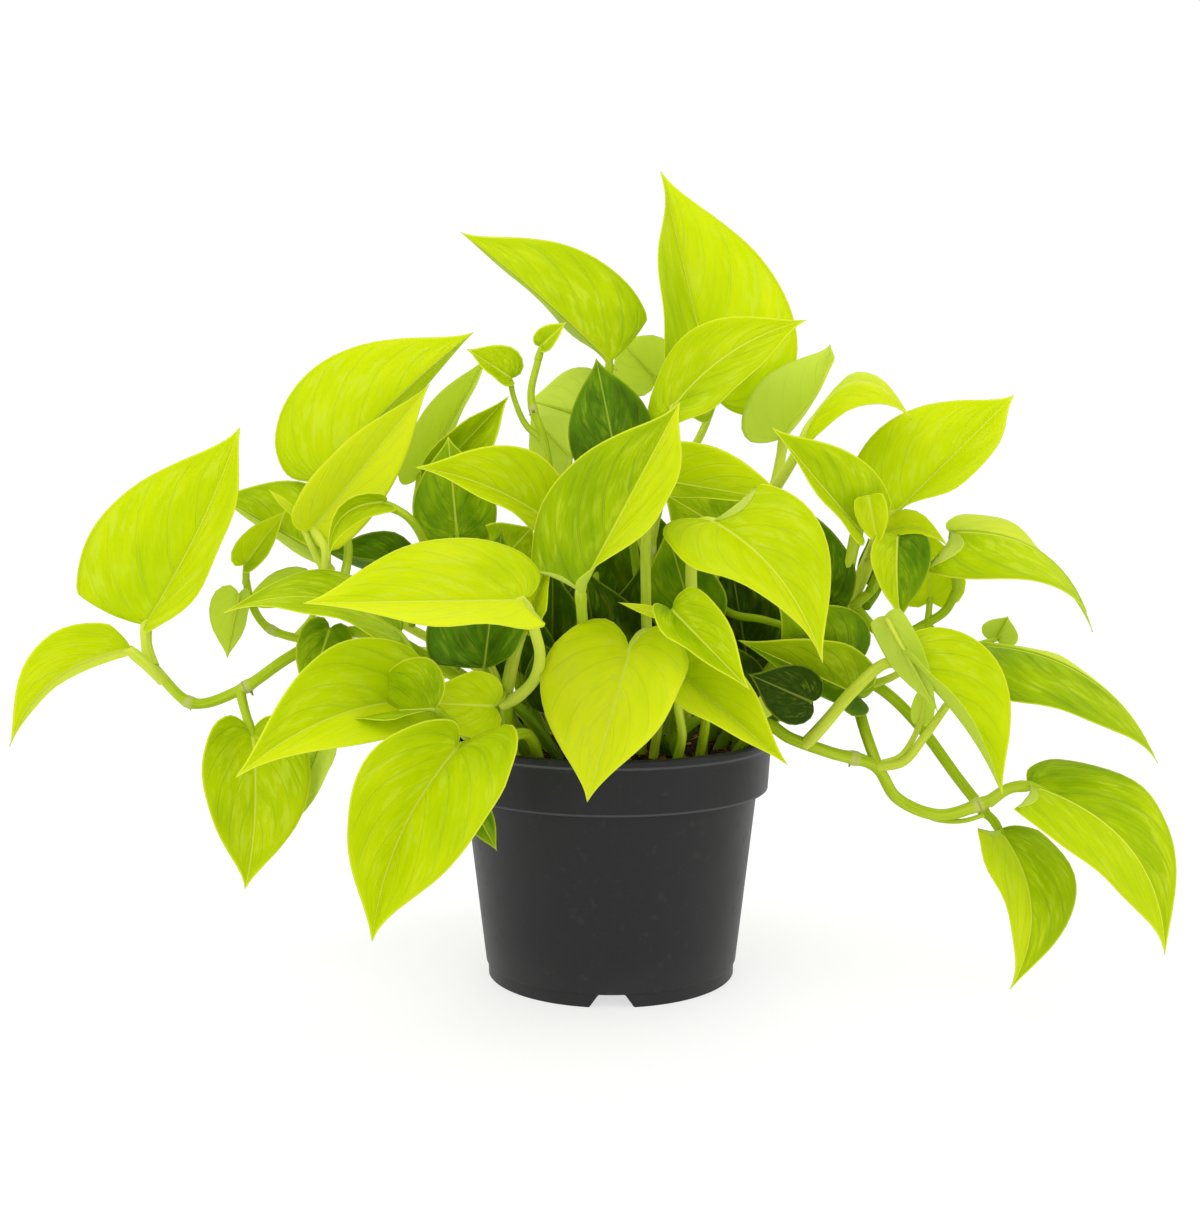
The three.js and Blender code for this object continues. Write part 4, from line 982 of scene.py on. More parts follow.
leaves = {
    "leaf_left_upright": dict(
        base=(145, 625, -34), tip=(240, 427, -20), wide=0.42, twist=-30, turn=(0, 79), bow=(0.03, 0.05),
        lobe=(0.2, 0.1), tone=0.72, shade=(0, 0.05), girth=1.25, stalkTone=0.25,
        stalk=[(153, 667, -42), (147, 648, -38)],
    ),
    "leaf_left_drooping": dict(
        base=(131, 649, -51), tip=(10, 747, -70), wide=0.28, turn=(-72, 24), bow=(0.14, 0.05),
        curl=(0.02, 0), lobe=(0.1, 0.15), tone=0.74, shade=(0.5, 0.05), girth=1.2, stalkTone=0.25,
        stalk=[(163, 680, -43), (150, 668, -49)],
    ),
    "leaf_left_hanging": dict(
        base=(252, 732, -52), tip=(245, 890, -54), wide=0.34, turn=(10, 30), bow=(-0.04, 0.04),
        lobe=(0.95, 0.95), stalk=[(240, 690, -46), (245, 711, -51)],
    ),
    "leaf_left_behind": dict(
        base=(322, 735, -30), tip=(281, 836, -36), turn=(55, 0), lobe=(0.5, 0.5), under=True, tone=0.75,
        stalk=[(335, 634, -50), (338, 690, -40)],
    ),
    "leaf_left_pale": dict(
        base=(239, 594, -18), tip=(227, 658, -22), wide=0.4, turn=(55, 0), under=True, tone=1.4,
        within="stem_left_back", stalk=[(251, 602, -14)],
    ),
    "leaf_left_curled": dict(
        base=(245, 564, -14), tip=(286, 510, -10), wide=0.3, turn=(20, 60), tone=0.8, shade=(0, -0.2),
        within="stem_left_back", stalk=[(246, 584, -14)],
    ),
    "leaf_left_small": dict(
        base=(310, 590, 2), tip=(240, 605, -2), wide=0.38, turn=(60, 0), under=True, tone=0.9,
        within="stem_left_back", stalk=[(296, 638, -14), (314, 612, -6)],
    ),
    "leaf_left_back": dict(
        base=(318, 552, -12), tip=(216, 494, 4), wide=0.45, turn=(-72, 0), tone=0.5, shade=(0.15, 0),
        stalk=[(324, 569, -32)],
    ),
    "leaf_left_tall": dict(
        base=(325, 478, -8), tip=(474, 332, 10), wide=0.38, turn=(0, -72), bow=(-0.03, 0.05), tone=0.76,
        shade=(0, -0.1), stalk=[(342, 590, -31), (348, 545, -18), (334, 505, -10)],
    ),
    "leaf_left_yellow": dict(
        base=(312, 530, -34), tip=(430, 384, -20), wide=0.2, turn=(40, 10), lobe=(0.4, 0.4), tone=1.5,
        stalk=[(326, 571, -32), (325, 548, -38)],
    ),
    "leaf_left_arched": dict(
        base=(386, 502, -50), tip=(329, 562, -66), wide=0.2, turn=(20, 60), bow=(0.25, 0.02),
        lobe=(0.2, 0.2), stalk=[(455, 672, -1), (446, 610, -15), (428, 550, -32), (408, 517, -46)],
    ),
    "leaf_left_dark": dict(
        base=(404, 566, -6), tip=(325, 552, -8), wide=0.4, turn=(-60, 20), tone=0.15,
        stalk=[(410, 628, -24), (414, 600, -18), (412, 580, -10)],
    ),
    "leaf_left_long": dict(
        base=(400, 634, -66), tip=(223, 613, -82), wide=0.34, turn=(76, -50), bow=(0.15, 0.05),
        lobe=(0.2, 0.2), tone=0.45, shade=(0.1, 0), stalkTone=0.2, foot=(-56, -37),
        stalk=[(470, 706, -58), (430, 676, -68)],
    ),
    "leaf_left_shaded": dict(
        base=(330, 628, -58), tip=(306, 700, -62), tone=0.35, within="stem_left", stalk=[(337, 634, -50)],
    ),
    "leaf_front_low": dict(
        base=(426, 701, -86), tip=(235, 778, -142), wide=0.32, turn=(62, 15), bow=(0.09, 0.05),
        lobe=(0.3, 0.5), tone=0.68, shade=(0.2, 0), stalkTone=0.2, foot=(-42, -54),
        stalk=[(498, 737, -62), (472, 733, -75), (450, 716, -86)],
    ),
    "leaf_front_round": dict(
        base=(493, 706, -86), tip=(412, 702, -114), wide=0.35, turn=(15, 15), tone=0.76,
        within="stem_front_left", stalk=[(504, 692, -62), (500, 700, -72)],
    ),
    "leaf_front_heart": dict(
        base=(457, 748, -118), tip=(372, 942, -134), wide=0.4, turn=(44, 48), bow=(0.08, 0.04),
        lobe=(1.8, 1), tone=0.7, girth=1.2, foot=(-34, -52),
        stalk=[(528, 735, -62), (505, 738, -76), (478, 742, -94)],
    ),
    "leaf_front_tiny": dict(
        base=(470, 800, -92), tip=(497, 851, -86), wide=0.24, tone=0.22, within="leaf_front_heart",
        stalk=[(480, 741, -92), (484, 765, -95)],
    ),
    "leaf_front_yellow": dict(
        base=(524, 600, -118), tip=(303, 603, -160), wide=0.33, turn=(75, -25), lobe=(-0.3, 1), tone=0.8,
        shade=(0.34, 0), girth=1.2, stalkTone=0.3,
        stalk=[
            (504, 704, -60), (520, 695, -72), (535, 678, -84), (540, 656, -94), (535, 632, -108),
            (529, 612, -116),
        ],
    ),
    "leaf_front_edge": dict(
        base=(528, 628, -74), tip=(550, 557, -64), wide=0.3, turn=(70, 70), tone=0.8, shade=(0.1, 0),
        within="stem_front_left", stalk=[(504, 690, -62), (512, 655, -68)],
    ),
    "leaf_front_shaded": dict(
        base=(484, 668, -72), tip=(502, 530, -36), wide=0.4, turn=(0, 65), lobe=(0.1, 0.2), tone=0.15,
        within="stem_front_left", stalk=[(504, 692, -62), (492, 682, -70)],
    ),
    "leaf_middle_left": dict(
        base=(545, 518, -44), tip=(415, 467, -60), turn=(78, 15), bow=(0.06, 0.03), lobe=(0.2, 1),
        tone=0.72, stalk=[(556, 560, 6), (560, 545, -22)],
    ),
    "leaf_middle_dark": dict(
        base=(457, 534, -24), tip=(448, 436, -14), wide=0.42, tone=0.3, foot=(-50, -8),
        stalk=[(484, 650, -8), (462, 580, -16)],
    ),
    "leaf_back_pale": dict(
        base=(420, 477, 48), tip=(488, 356, 64), wide=0.27, turn=(35, 75), under=True, tone=0.78,
        shade=(0.1, -0.1), foot=(-48, 20), stalk=[(470, 640, 24), (430, 560, 32), (416, 510, 42)],
    ),
    "leaf_back_crossing": dict(
        base=(434, 474, 10), tip=(509, 396, 14), turn=(70, 45), tone=0.5, foot=(-32, 14),
        stalk=[(500, 640, 10), (456, 550, 8), (440, 505, 9)],
    ),
    "leaf_top_curled": dict(
        base=(511, 378, 28), tip=(467, 349, 24), wide=0.5, turn=(75, 10), within="stem_centre_left",
        stalk=[(544, 440, 18), (526, 425, 25), (514, 398, 28)],
    ),
    "leaf_top_tiny": dict(
        base=(541, 346, 20), tip=(566, 322, 16), wide=0.4, turn=(0, 60), within="stem_centre_left",
        stalk=[(538, 360, 20)],
    ),
    "leaf_top_left": dict(
        base=(610, 362, 24), tip=(460, 232, 40), wide=0.335, turn=(-80, 0), bow=(0.02, 0.04),
        lobe=(0.15, 0.15), stalk=[(648, 560, 12), (628, 500, 24), (613, 430, 27), (609, 390, 25)],
    ),
    "leaf_top_back": dict(
        base=(600, 420, 52), tip=(528, 400, 84), wide=0.48, turn=(60, 0), under=True, tone=0.62,
        foot=(-6, 22), stalk=[(590, 640, 30), (600, 540, 44), (608, 460, 50)],
    ),
    "leaf_top_back_small": dict(
        base=(572, 458, 28), tip=(530, 415, 40), wide=0.5, under=True, tone=0.8, within="stem_centre_left",
        stalk=[(553, 500, 12), (566, 480, 24)],
    ),
    "leaf_centre_dark": dict(
        base=(617, 462, -10), tip=(596, 358, 6), wide=0.39, tone=0.15,
        stalk=[(641, 600, 9), (632, 540, 4), (622, 500, -2)],
    ),
    "leaf_top": dict(
        base=(715, 398, 44), tip=(661, 171, 66), wide=0.39, twist=-20, turn=(78, 0), bow=(0, 0.05),
        tone=0.75, shade=(-0.12, 0.02), stalkTone=0.2,
        stalk=[(660, 490, 18), (686, 460, 32), (704, 428, 41)],
    ),
    "leaf_top_right": dict(
        base=(672, 408, -6), tip=(807, 320, -14), wide=0.27, twist=-55, turn=(0, 45), bow=(-0.09, 0.06),
        lobe=(1.5, 0.5), tone=0.68, shade=(0.04, -0.04), stalkTone=0.2,
        stalk=[(650, 545, 13), (662, 490, 2), (668, 440, -5)],
    ),
    "leaf_top_small": dict(
        base=(655, 378, 56), tip=(618, 338, 76), wide=0.5, under=True, tone=0.8, within="stem_centre",
        stalk=[(668, 446, 20), (664, 410, 42)],
    ),
    "leaf_centre": dict(
        base=(580, 592, -92), tip=(680, 402, -70), wide=0.35, twist=-72, turn=(0, 72), lobe=(-0.3, 0.15),
        shade=(-0.14, 0.24), girth=1.25, stalkTone=0.2, foot=(-12, -46),
        stalk=[(590, 700, -50), (585, 650, -62), (582, 615, -80)],
    ),
    "leaf_centre_heart": dict(
        base=(630, 650, -86), tip=(587, 802, -118), wide=0.49, turn=(50, 0), lobe=(1.5, 1.5), tone=0.96,
        foot=(20, -40), stalk=[(662, 700, -50), (664, 655, -62), (650, 634, -70), (640, 635, -79)],
    ),
    "leaf_centre_right": dict(
        base=(713, 521, -92), tip=(823, 663, -124), wide=0.37, twist=50, turn=(0, 57), bow=(-0.095, 0.05),
        lobe=(-0.6, 1.2), tone=0.7, shade=(0, 0.14), girth=1.3, stalkTone=0.35, foot=(32, -30),
        stalk=[(690, 690, -42), (692, 620, -58), (692, 556, -74), (700, 524, -86)],
    ),
    "leaf_centre_back": dict(
        base=(660, 480, -42), tip=(797, 503, -60), wide=0.31, turn=(20, 80), shade=(0.2, -0.1), girth=1.2,
        stalkTone=0.25, foot=(14, -24), stalk=[(648, 680, -28), (646, 600, -36), (648, 520, -42)],
    ),
    "leaf_front_right": dict(
        base=(672, 610, -104), tip=(750, 690, -128), wide=0.32, turn=(25, 65), lobe=(0.4, 1), tone=0.62,
        shade=(0, -0.1), foot=(42, -46), stalk=[(706, 720, -54), (708, 662, -68), (694, 624, -92)],
    ),
    "leaf_low_right": dict(
        base=(678, 672, -76), tip=(788, 765, -106), wide=0.34, turn=(38, 72), tone=0.94,
        shade=(-0.14, 0.06), foot=(30, -54), stalk=[(682, 738, -62), (678, 704, -70)],
    ),
    "leaf_right_dark": dict(
        base=(845, 666, -24), tip=(778, 606, -46), wide=0.45, tone=0.3, stalk=[(846, 670, -2)],
    ),
    "leaf_right_shaded": dict(
        base=(852, 692, -22), tip=(738, 640, -50), wide=0.3, turn=(70, 30), tone=0.22, shade=(0, 0.3),
        stalk=[(872, 684, -5), (863, 694, -14)],
    ),
    "leaf_right_rim": dict(
        base=(812, 702, -66), tip=(748, 674, -84), tone=-0.2, foot=(62, -14),
        stalk=[(782, 714, -34), (806, 712, -54)],
    ),
    "leaf_right_inner": dict(
        base=(826, 603, -26), tip=(795, 498, -14), turn=(20, 35), tone=0.1, stalk=[(828, 612, -18)],
    ),
    "leaf_right_raised": dict(
        base=(860, 531, -36), tip=(772, 427, -48), wide=0.35, turn=(86, 0), lobe=(0.3, 0.6), tone=0.64,
        shade=(0.02, -0.06), girth=1.4, stalkTone=0.2,
        stalk=[(834, 610, -18), (846, 578, -28), (853, 548, -34)],
    ),
    "leaf_right_big": dict(
        base=(893, 515, -12), tip=(1014, 395, -2), wide=0.42, twist=-40, turn=(0, 75), lobe=(0.6, 0.3),
        tone=0.78, shade=(0, 0.02), girth=1.6, stalkTone=0.35,
        stalk=[(846, 608, -18), (860, 580, -16), (874, 548, -14), (883, 528, -13)],
    ),
    "leaf_right_cupped": dict(
        base=(868, 495, -46), tip=(879, 548, -40), wide=0.3, turn=(20, 20), lobe=(0.1, 0.1), tone=0.8,
        girth=0.5, within="leaf_right_big", stalk=[(866, 560, -18), (875, 545, -34), (873, 520, -37)],
    ),
    "leaf_right_hooked": dict(
        base=(881, 536, -17), tip=(948, 546, -28), wide=0.3, turn=(30, 70), bow=(-0.2, 0.02), tone=1.1,
        within="leaf_right_big", stalk=[(868, 560, -16), (873, 545, -26)],
    ),
    "leaf_right_two_toned": dict(
        base=(898, 536, -34), tip=(901, 621, -42), wide=0.4, turn=(0, 50), bow=(0.03, 0.05),
        lobe=(0.2, 0.2), tone=0.22, shade=(0, 0.46), stalk=[(870, 592, -22), (884, 562, -26)],
    ),
    "leaf_right_behind": dict(
        base=(930, 600, 0), tip=(930, 530, 2), wide=0.5, tone=0.84, within="stem_right",
        stalk=[(928, 622, -12)],
    ),
    "leaf_right_out": dict(
        base=(951, 532, -18), tip=(1093, 632, -36), wide=0.38, twist=55, turn=(-78, 56), bow=(-0.2, 0.05),
        lobe=(0.5, -1), tone=0.62, shade=(0.32, -0.02), stalk=[(957, 590, -10), (955, 565, -14)],
    ),
    "leaf_right_far": dict(
        base=(978, 645, -20), tip=(1158, 763, -42), turn=(-80, 56), bow=(-0.155, 0.05), lobe=(0.3, 0.3),
        tone=0.42, shade=(0.5, 0.02), stalk=[(925, 624, -12), (945, 642, -14), (962, 646, -17)],
    ),
    "leaf_right_folded": dict(
        base=(905, 660, -58), tip=(1003, 795, -78), wide=0.4, turn=(0, 104), bow=(-0.06, 0.04),
        lobe=(1, 0.4), tone=0.66, shade=(0.06, 0.3), girth=1.35, stalkTone=0.3,
        stalk=[(806, 744, -38), (826, 722, -50), (852, 692, -60), (884, 664, -58)],
    ),
    "leaf_right_low": dict(
        base=(1030, 785, -46), tip=(1165, 955, -62), wide=0.31, twist=-30, turn=(-30, 55),
        bow=(-0.18, 0.05), lobe=(0.45, -0.5), tone=0.46, shade=(0.02, 0.2), girth=1.25, stalkTone=0.25,
        stalk=[(988, 802, -40), (1010, 788, -43)],
    ),
    "leaf_right_lowest": dict(
        base=(1000, 830, -20), tip=(1010, 990, -44), turn=(-25, 65), bow=(-0.16, 0.05), lobe=(0.3, -0.5),
        tone=0.48, shade=(0, 0.28), stalk=[(984, 812, -12), (993, 820, -16)],
    ),
    "leaf_right_sheath": dict(
        base=(921, 721, -40), tip=(928, 676, -42), wide=0.25, under=True, tone=1, within="stem_right_low",
        stalk=[(878, 765, -36), (900, 757, -38), (913, 739, -39)],
    ),
    "leaf_middle_right": dict(
        base=(783, 438, 14), tip=(830, 344, 42), wide=0.44, turn=(0, 83), bow=(0.08, 0.05), lobe=(1.3, 0.5),
        under=True, tone=0.98, girth=1.2, stalkTone=0.2, stalk=[(775, 488, 10), (780, 462, 13)],
    ),
    "leaf_upper_right": dict(
        base=(810, 423, -20), tip=(912, 420, -36), wide=0.4, turn=(-65, 50), bow=(-0.38, 0.02),
        lobe=(0.5, 0.2), tone=0.86, girth=1.2, stalkTone=0.3,
        stalk=[(767, 504, 10), (777, 486, -2), (790, 465, -12), (804, 438, -20)],
    ),
}

rearUsual = dict(turn=(25, 30), hidden=True)

rearLeaves = {
    "leaf_rear_left_high": dict(
        base=(-80, 90, 178), tip=(-140, 104, 178), wide=0.38, tone=0.55, within="stem_back_left",
        stalk=[(-56, 82, 154), (-74, 88, 172)],
    ),
    "leaf_rear_left_side": dict(
        base=(-98, 106, 142), tip=(-150, 116, 134), within="stem_back_left",
        stalk=[(-72, 98, 146), (-92, 104, 146)],
    ),
    "leaf_rear_left_low": dict(
        base=(-72, 126, 104), tip=(-60, 146, 48), wide=0.38, tone=0.7, within="stem_back_left",
        stalk=[(-76, 108, 122), (-74, 120, 112)],
    ),
    "leaf_rear_left_end": dict(
        base=(-60, 120, 86), tip=(-34, 134, 34), wide=0.38, tone=0.8, within="stem_back_left",
        stalk=[(-66, 112, 98)],
    ),
    "leaf_rear_high": dict(
        base=(-18, 76, 196), tip=(-46, 112, 246), wide=0.4, within="stem_back",
        stalk=[(-2, 64, 150), (-14, 72, 186)],
    ),
    "leaf_rear_out": dict(
        base=(14, 102, 172), tip=(40, 152, 168), wide=0.4, tone=0.7, within="stem_back",
        stalk=[(-6, 86, 160), (10, 98, 170)],
    ),
    "leaf_rear_low": dict(
        base=(-22, 122, 136), tip=(-34, 160, 96), wide=0.38, within="stem_back",
        stalk=[(-4, 106, 146), (-18, 118, 140)],
    ),
    "leaf_rear_end": dict(
        base=(8, 124, 110), tip=(22, 146, 54), wide=0.38, tone=0.75, within="stem_back",
        stalk=[(4, 116, 122)],
    ),
    "leaf_rear_right_high": dict(
        base=(58, 68, 196), tip=(70, 96, 236), wide=0.4, within="stem_back_right",
        stalk=[(42, 60, 146), (54, 66, 184)],
    ),
    "leaf_rear_right_side": dict(
        base=(86, 90, 168), tip=(124, 104, 166), wide=0.4, tone=0.5, within="stem_back_right",
        stalk=[(58, 82, 156), (80, 88, 166)],
    ),
    "leaf_rear_right_low": dict(
        base=(82, 114, 130), tip=(78, 146, 84), wide=0.38, tone=0.7, within="stem_back_right",
        stalk=[(74, 96, 144), (82, 108, 138)],
    ),
    "leaf_rear_right_end": dict(
        base=(70, 112, 108), tip=(50, 130, 54), tone=0.8, within="stem_back_right", stalk=[(78, 104, 122)],
    ),
}

# Only the looks have these: leaves in the shade between the stalks, lobes and prongs, joining stems

# painted shade: most of these leaves get tones near or below zero, darker than their own colour, for the
# deep shade between the stalks
shadeLeaves = [
    dict(base=(602, 688, 6), tip=(584, 566, -6), wide=0.5, tone=-0.02, foot=(0, 0)),
    dict(base=(655, 676, 14), tip=(642, 560, 4), wide=0.46, tone=-0.05, foot=(18, 14)),
    dict(base=(700, 676, 22), tip=(672, 566, 10), wide=0.44, tone=0.02, foot=(40, 22)),
    dict(base=(552, 672, 2), tip=(553, 566, -8), wide=0.42, turn=(20, 30), tone=0.04, foot=(-20, 2)),
    dict(base=(748, 664, 6), tip=(730, 556, -4), wide=0.46, tone=0, foot=(60, 10)),
    dict(base=(520, 676, -14), tip=(518, 596, -22), wide=0.46, tone=0.1, foot=(-40, -16)),
    dict(
        base=(694, 622, -12), tip=(666, 526, -22), wide=0.4, turn=(0, 35), tone=0.22, foot=(46, -20),
        stalk=[(706, 670, -14)],
    ),
    dict(base=(486, 648, 12), tip=(452, 566, 6), wide=0.5, tone=0.04, foot=(-46, 14)),
    dict(base=(764, 646, 20), tip=(778, 530, 10), wide=0.42, turn=(10, 20), tone=0, foot=(64, 24)),
    dict(
        base=(640, 606, 44), tip=(634, 486, 34), wide=0.42, tone=0.08, foot=(24, 48),
        stalk=[(648, 660, 46)],
    ),
    dict(
        base=(578, 602, 40), tip=(560, 496, 32), wide=0.4, tone=0.14, foot=(-14, 44),
        stalk=[(584, 650, 42)],
    ),
    dict(
        base=(700, 590, 40), tip=(720, 500, 30), wide=0.46, tone=0.05, foot=(44, 44),
        stalk=[(706, 650, 42)],
    ),
    dict(base=(735, 536, 6), tip=(662, 492, 0), wide=0.5, tone=0.4, foot=(52, 18), stalk=[(728, 600, 8)]),
    dict(
        base=(500, 562, -20), tip=(533, 526, -26), wide=0.72, tone=0.46, foot=(-36, -10),
        stalk=[(506, 640, -16)],
    ),
    dict(base=(618, 704, -30), tip=(600, 640, -38), wide=0.5, tone=0.02, foot=(10, -30)),
    dict(base=(736, 700, -24), tip=(716, 636, -32), wide=0.5, tone=0.02, foot=(62, -28)),
    dict(base=(560, 702, -32), tip=(538, 640, -40), wide=0.46, tone=0.06, foot=(-20, -34)),
    dict(
        base=(884, 578, 4), tip=(868, 538, -2), wide=0.5, tone=0.08,
        stalk=[(866, 606, -16), (876, 592, -4)],
    ),
]

lobes = [
    dict(
        base=(885, 616, -60), tip=(938, 712, -70), wide=0.19, turn=(20, -20), lobe=(0.2, 0.2), under=True,
        tone=1.3, girth=0.4, stalk=[(890, 662, -58), (887, 638, -58)],
    ),
    dict(
        base=(434, 709, -126), tip=(364, 712, -78), wide=0.38, turn=(87, 0), lobe=(0, 1), tone=0.52,
        stalk=[(466, 735, -84), (450, 722, -105)],
    ),
    dict(
        base=(676, 618, -105), tip=(617, 602, -99), wide=0.1, tone=0.8, girth=0.4, stalk=[(694, 624, -94)],
    ),
    dict(base=(296, 514, -32), tip=(268, 489, -36), wide=0.13, tone=1, girth=0.45, stalk=[(299, 522, -32)]),
    dict(base=(297, 514, -32), tip=(315, 486, -30), wide=0.12, tone=1, girth=0.45, stalk=[(299, 522, -32)]),
    dict(base=(997, 640, 2), tip=(1008, 616, 4), wide=0.7, under=True, girth=0.6, stalk=[(976, 645, -14)]),
]

joiningStems = [
    dict(
        thick=(3, 2.8), tone=0.6, path=[(846, 672, -4), (856, 700, -16), (866, 734, -28), (877, 765, -36)],
    ),
    dict(
        thick=(2.4, 2), tone=0.85,
        path=[(878, 767, -37), (903, 762, -41), (925, 736, -46), (947, 705, -52)],
    ),
    dict(
        thick=(1.4, 1.1), tone=0.6,
        path=[(910, 806, -37), (935, 819, -37), (962, 821, -38), (984, 815, -39)],
    ),
    dict(thick=(2.3, 1.6), tone=0.8, path=[(874, 684, -8), (890, 678, -14), (908, 668, -20)]),
    dict(
        thick=(2.8, 2.2), tone=0.6,
        path=[(838, 612, -18), (856, 603, -20), (870, 592, -22), (884, 572, -26)],
    ),
    dict(
        thick=(2.8, 2.6), tone=0.9,
        path=[(505, 706, -60), (510, 680, -62), (516, 652, -66), (522, 632, -71)],
    ),
    dict(thick=(2.2, 1.6), tone=0.85, path=[(503, 700, -60), (497, 680, -62), (487, 656, -64)]),
    dict(
        foot=(-24, -44), thick=(3, 2.6), tone=0.25,
        path=[(545, 738, -46), (528, 716, -50), (512, 702, -54)],
    ),
    dict(
        thick=(2.4, 2), tone=0.8,
        path=[(690, 660, 0), (702, 610, -8), (716, 570, -6), (740, 532, 4), (756, 518, 9)],
    ),
    dict(
        foot=(36, -40), thick=(3.2, 2.4), tone=0.4,
        path=[(674, 744, -44), (686, 728, -46), (702, 718, -46), (722, 715, -44)],
    ),
    dict(
        foot=(34, -34), thick=(2.6, 2.2), tone=0.25,
        path=[(662, 742, -36), (650, 716, -38), (642, 690, -40)],
    ),
    dict(
        thick=(2.2, 1.8), tone=0.5, path=[(716, 604, 4), (735, 615, -8), (760, 619, -14), (786, 626, -20)],
    ),
]


# One tree turns the paths in a piece into stalks and its loose points into root tips

def plantTree():
    sockets = {"Plant": "Geometry", "Stalk Sides": "Int", "Nub Sides": "Int", "Nub Length": "Float"}
    group, tree, given = newGroup("stalksAndNubs", {**sockets, "Nub Radius": "Float"}, "Plant")

    def named(name, kind):
        return tree.add("GeometryNodeInputNamedAttribute", {"data_type": kind}, {"Name": name})["Attribute"]

    def store(geometry, name, value):
        sockets = {"Geometry": geometry, "Name": name, "Value": value}
        return tree.add("GeometryNodeStoreNamedAttribute", {"data_type": "FLOAT"}, sockets)

    def part(geometry, name):
        chosen = tree.beyond(named(name, "FLOAT"), "GREATER_THAN", 0.5)
        return tree.add("GeometryNodeSeparateGeometry", {"domain": "POINT"}, {0: geometry, 1: chosen})

    def together(*pieces):
        whole = tree.add("GeometryNodeJoinGeometry", {}, {})
        for piece in pieces:
            group.links.new(piece.socket, whole.socket.node.inputs[0])
        return whole

    paths = part(given["Plant"], "isPath")
    nubs = part(paths["Inverted"], "isNub")
    sockets = {"Resolution": given["Stalk Sides"], "Radius": 1.0}
    ring = tree.add("GeometryNodeCurvePrimitiveCircle", {}, sockets)
    turn = tree.add("GeometryNodeSplineParameter", {}, {})["Factor"] * (2 * math.pi)
    ring = store(ring, "roundX", tree.maths("COSINE", turn))
    ring = store(ring, "roundY", tree.maths("SINE", turn))
    curves = tree.add("GeometryNodeMeshToCurve", {}, {0: paths["Selection"]})
    sockets = {"Curve": curves, "Profile Curve": ring, "Fill Caps": True}
    tubes = tree.add("GeometryNodeCurveToMesh", {}, {**sockets, "Scale": named("tubeScale", "FLOAT")})
    sockets = {"Vertices": given["Nub Sides"], "Radius Top": given["Nub Radius"] * stalkLook["nubTop"]}
    sockets.update({"Radius Bottom": given["Nub Radius"], "Depth": given["Nub Length"]})
    cone = tree.add("GeometryNodeMeshCone", {}, sockets)
    sockets = {"Vector": named("nubAim", "FLOAT_VECTOR")}
    turned = tree.add("FunctionNodeAlignRotationToVector", {"axis": "Z"}, sockets)
    sockets = {"Points": nubs["Selection"], "Instance": cone, "Rotation": turned}
    tips = tree.add("GeometryNodeInstanceOnPoints", {}, {**sockets, "Scale": named("nubSize", "FLOAT")})
    tips = tree.add("GeometryNodeRealizeInstances", {}, {0: tips})
    sockets = {"Geometry": together(tubes, tips), "Material": stalkMaterial}
    whole = together(tree.add("GeometryNodeSetMaterial", {}, sockets), nubs["Inverted"])
    smooth = tree.add("GeometryNodeSetShadeSmooth", {}, {"Geometry": whole, "Shade Smooth": True})
    tree.add("NodeGroupOutput", {}, {"Plant": smooth})
    return group


def growPiece(name, blades, paths, nubs, tree):
    points, faces, edges, aims = [], [], [], []
    names = ("tone", "beneath", "along", "across", "fromRib", "fromEdge", "seed")
    names += ("isPath", "isNub", "tubeScale", "stretch", "knot", "nubSize")
    columns = {key: [] for key in names}

    def lay(places, values, aim=(0, 0, 1)):
        points.append(np.asarray(places) * mm)
        aims.extend([aim] * len(places))
        for key in names:
            columns[key].append(np.broadcast_to(np.asarray(values.get(key, 0.0), float), (len(places),)))

    for places, skin, values in blades:
        start = len(aims)
        faces += [tuple(v + start for v in face) for face in skin]
        lay(places, values)
    for data in paths:
        start = len(aims)
        edges += [(start + k, start + k + 1) for k in range(len(data["path"]) - 1)]
        values = dict(isPath=1.0, tubeScale=data["radius"] * mm, stretch=data["run"] * mm)
        lay(data["path"], dict(values, tone=data["tone"], knot=data["knot"]))
    for place, aim, size in nubs:
        lay([place], dict(isNub=1.0, nubSize=size, tone=stalkLook["nubTone"], knot=1.0), tuple(aim))
    piece = meshObject(name + "Dressed", np.concatenate(points).tolist(), edges, faces)
    for key in names:
        layer = piece.data.attributes.new(key, "FLOAT", "POINT")
        layer.data.foreach_set("value", np.concatenate(columns[key]).astype(np.float32))
    layer = piece.data.attributes.new("nubAim", "FLOAT_VECTOR", "POINT")
    layer.data.foreach_set("vector", np.array(aims, np.float32).ravel())
    piece.data.materials.append(leafMaterial if blades else stalkMaterial)
    sizes = {"Nub Length": stalkLook["nubLength"] * mm, "Nub Radius": stalkLook["nubRadius"] * mm}
    sides = {"Stalk Sides": stalkLook["sides"], "Nub Sides": stalkLook["nubSides"]}
    growMesh(piece, tree, {**sizes, **sides})
    return piece


def ruffles(seeds):  # slow waves of a margin, a little different on each side
    parts = {}
    rates = (bladeLook["slowWaves"], bladeLook["quickWaves"])
    for side in (-1, 1):
        parts[side] = [(seeds.uniform(*rate), seeds.uniform(*bladeLook["phases"])) for rate in rates]

    def height(along, side):
        (slow, first), (quick, second) = parts[side]
        wave = math.sin(slow * along + first) + bladeLook["quickRuffle"] * math.sin(quick * along + second)
        return bladeLook["ruffle"] * wave * min(1.0, bladeLook["ruffleFade"] * (1 - along))

    return height


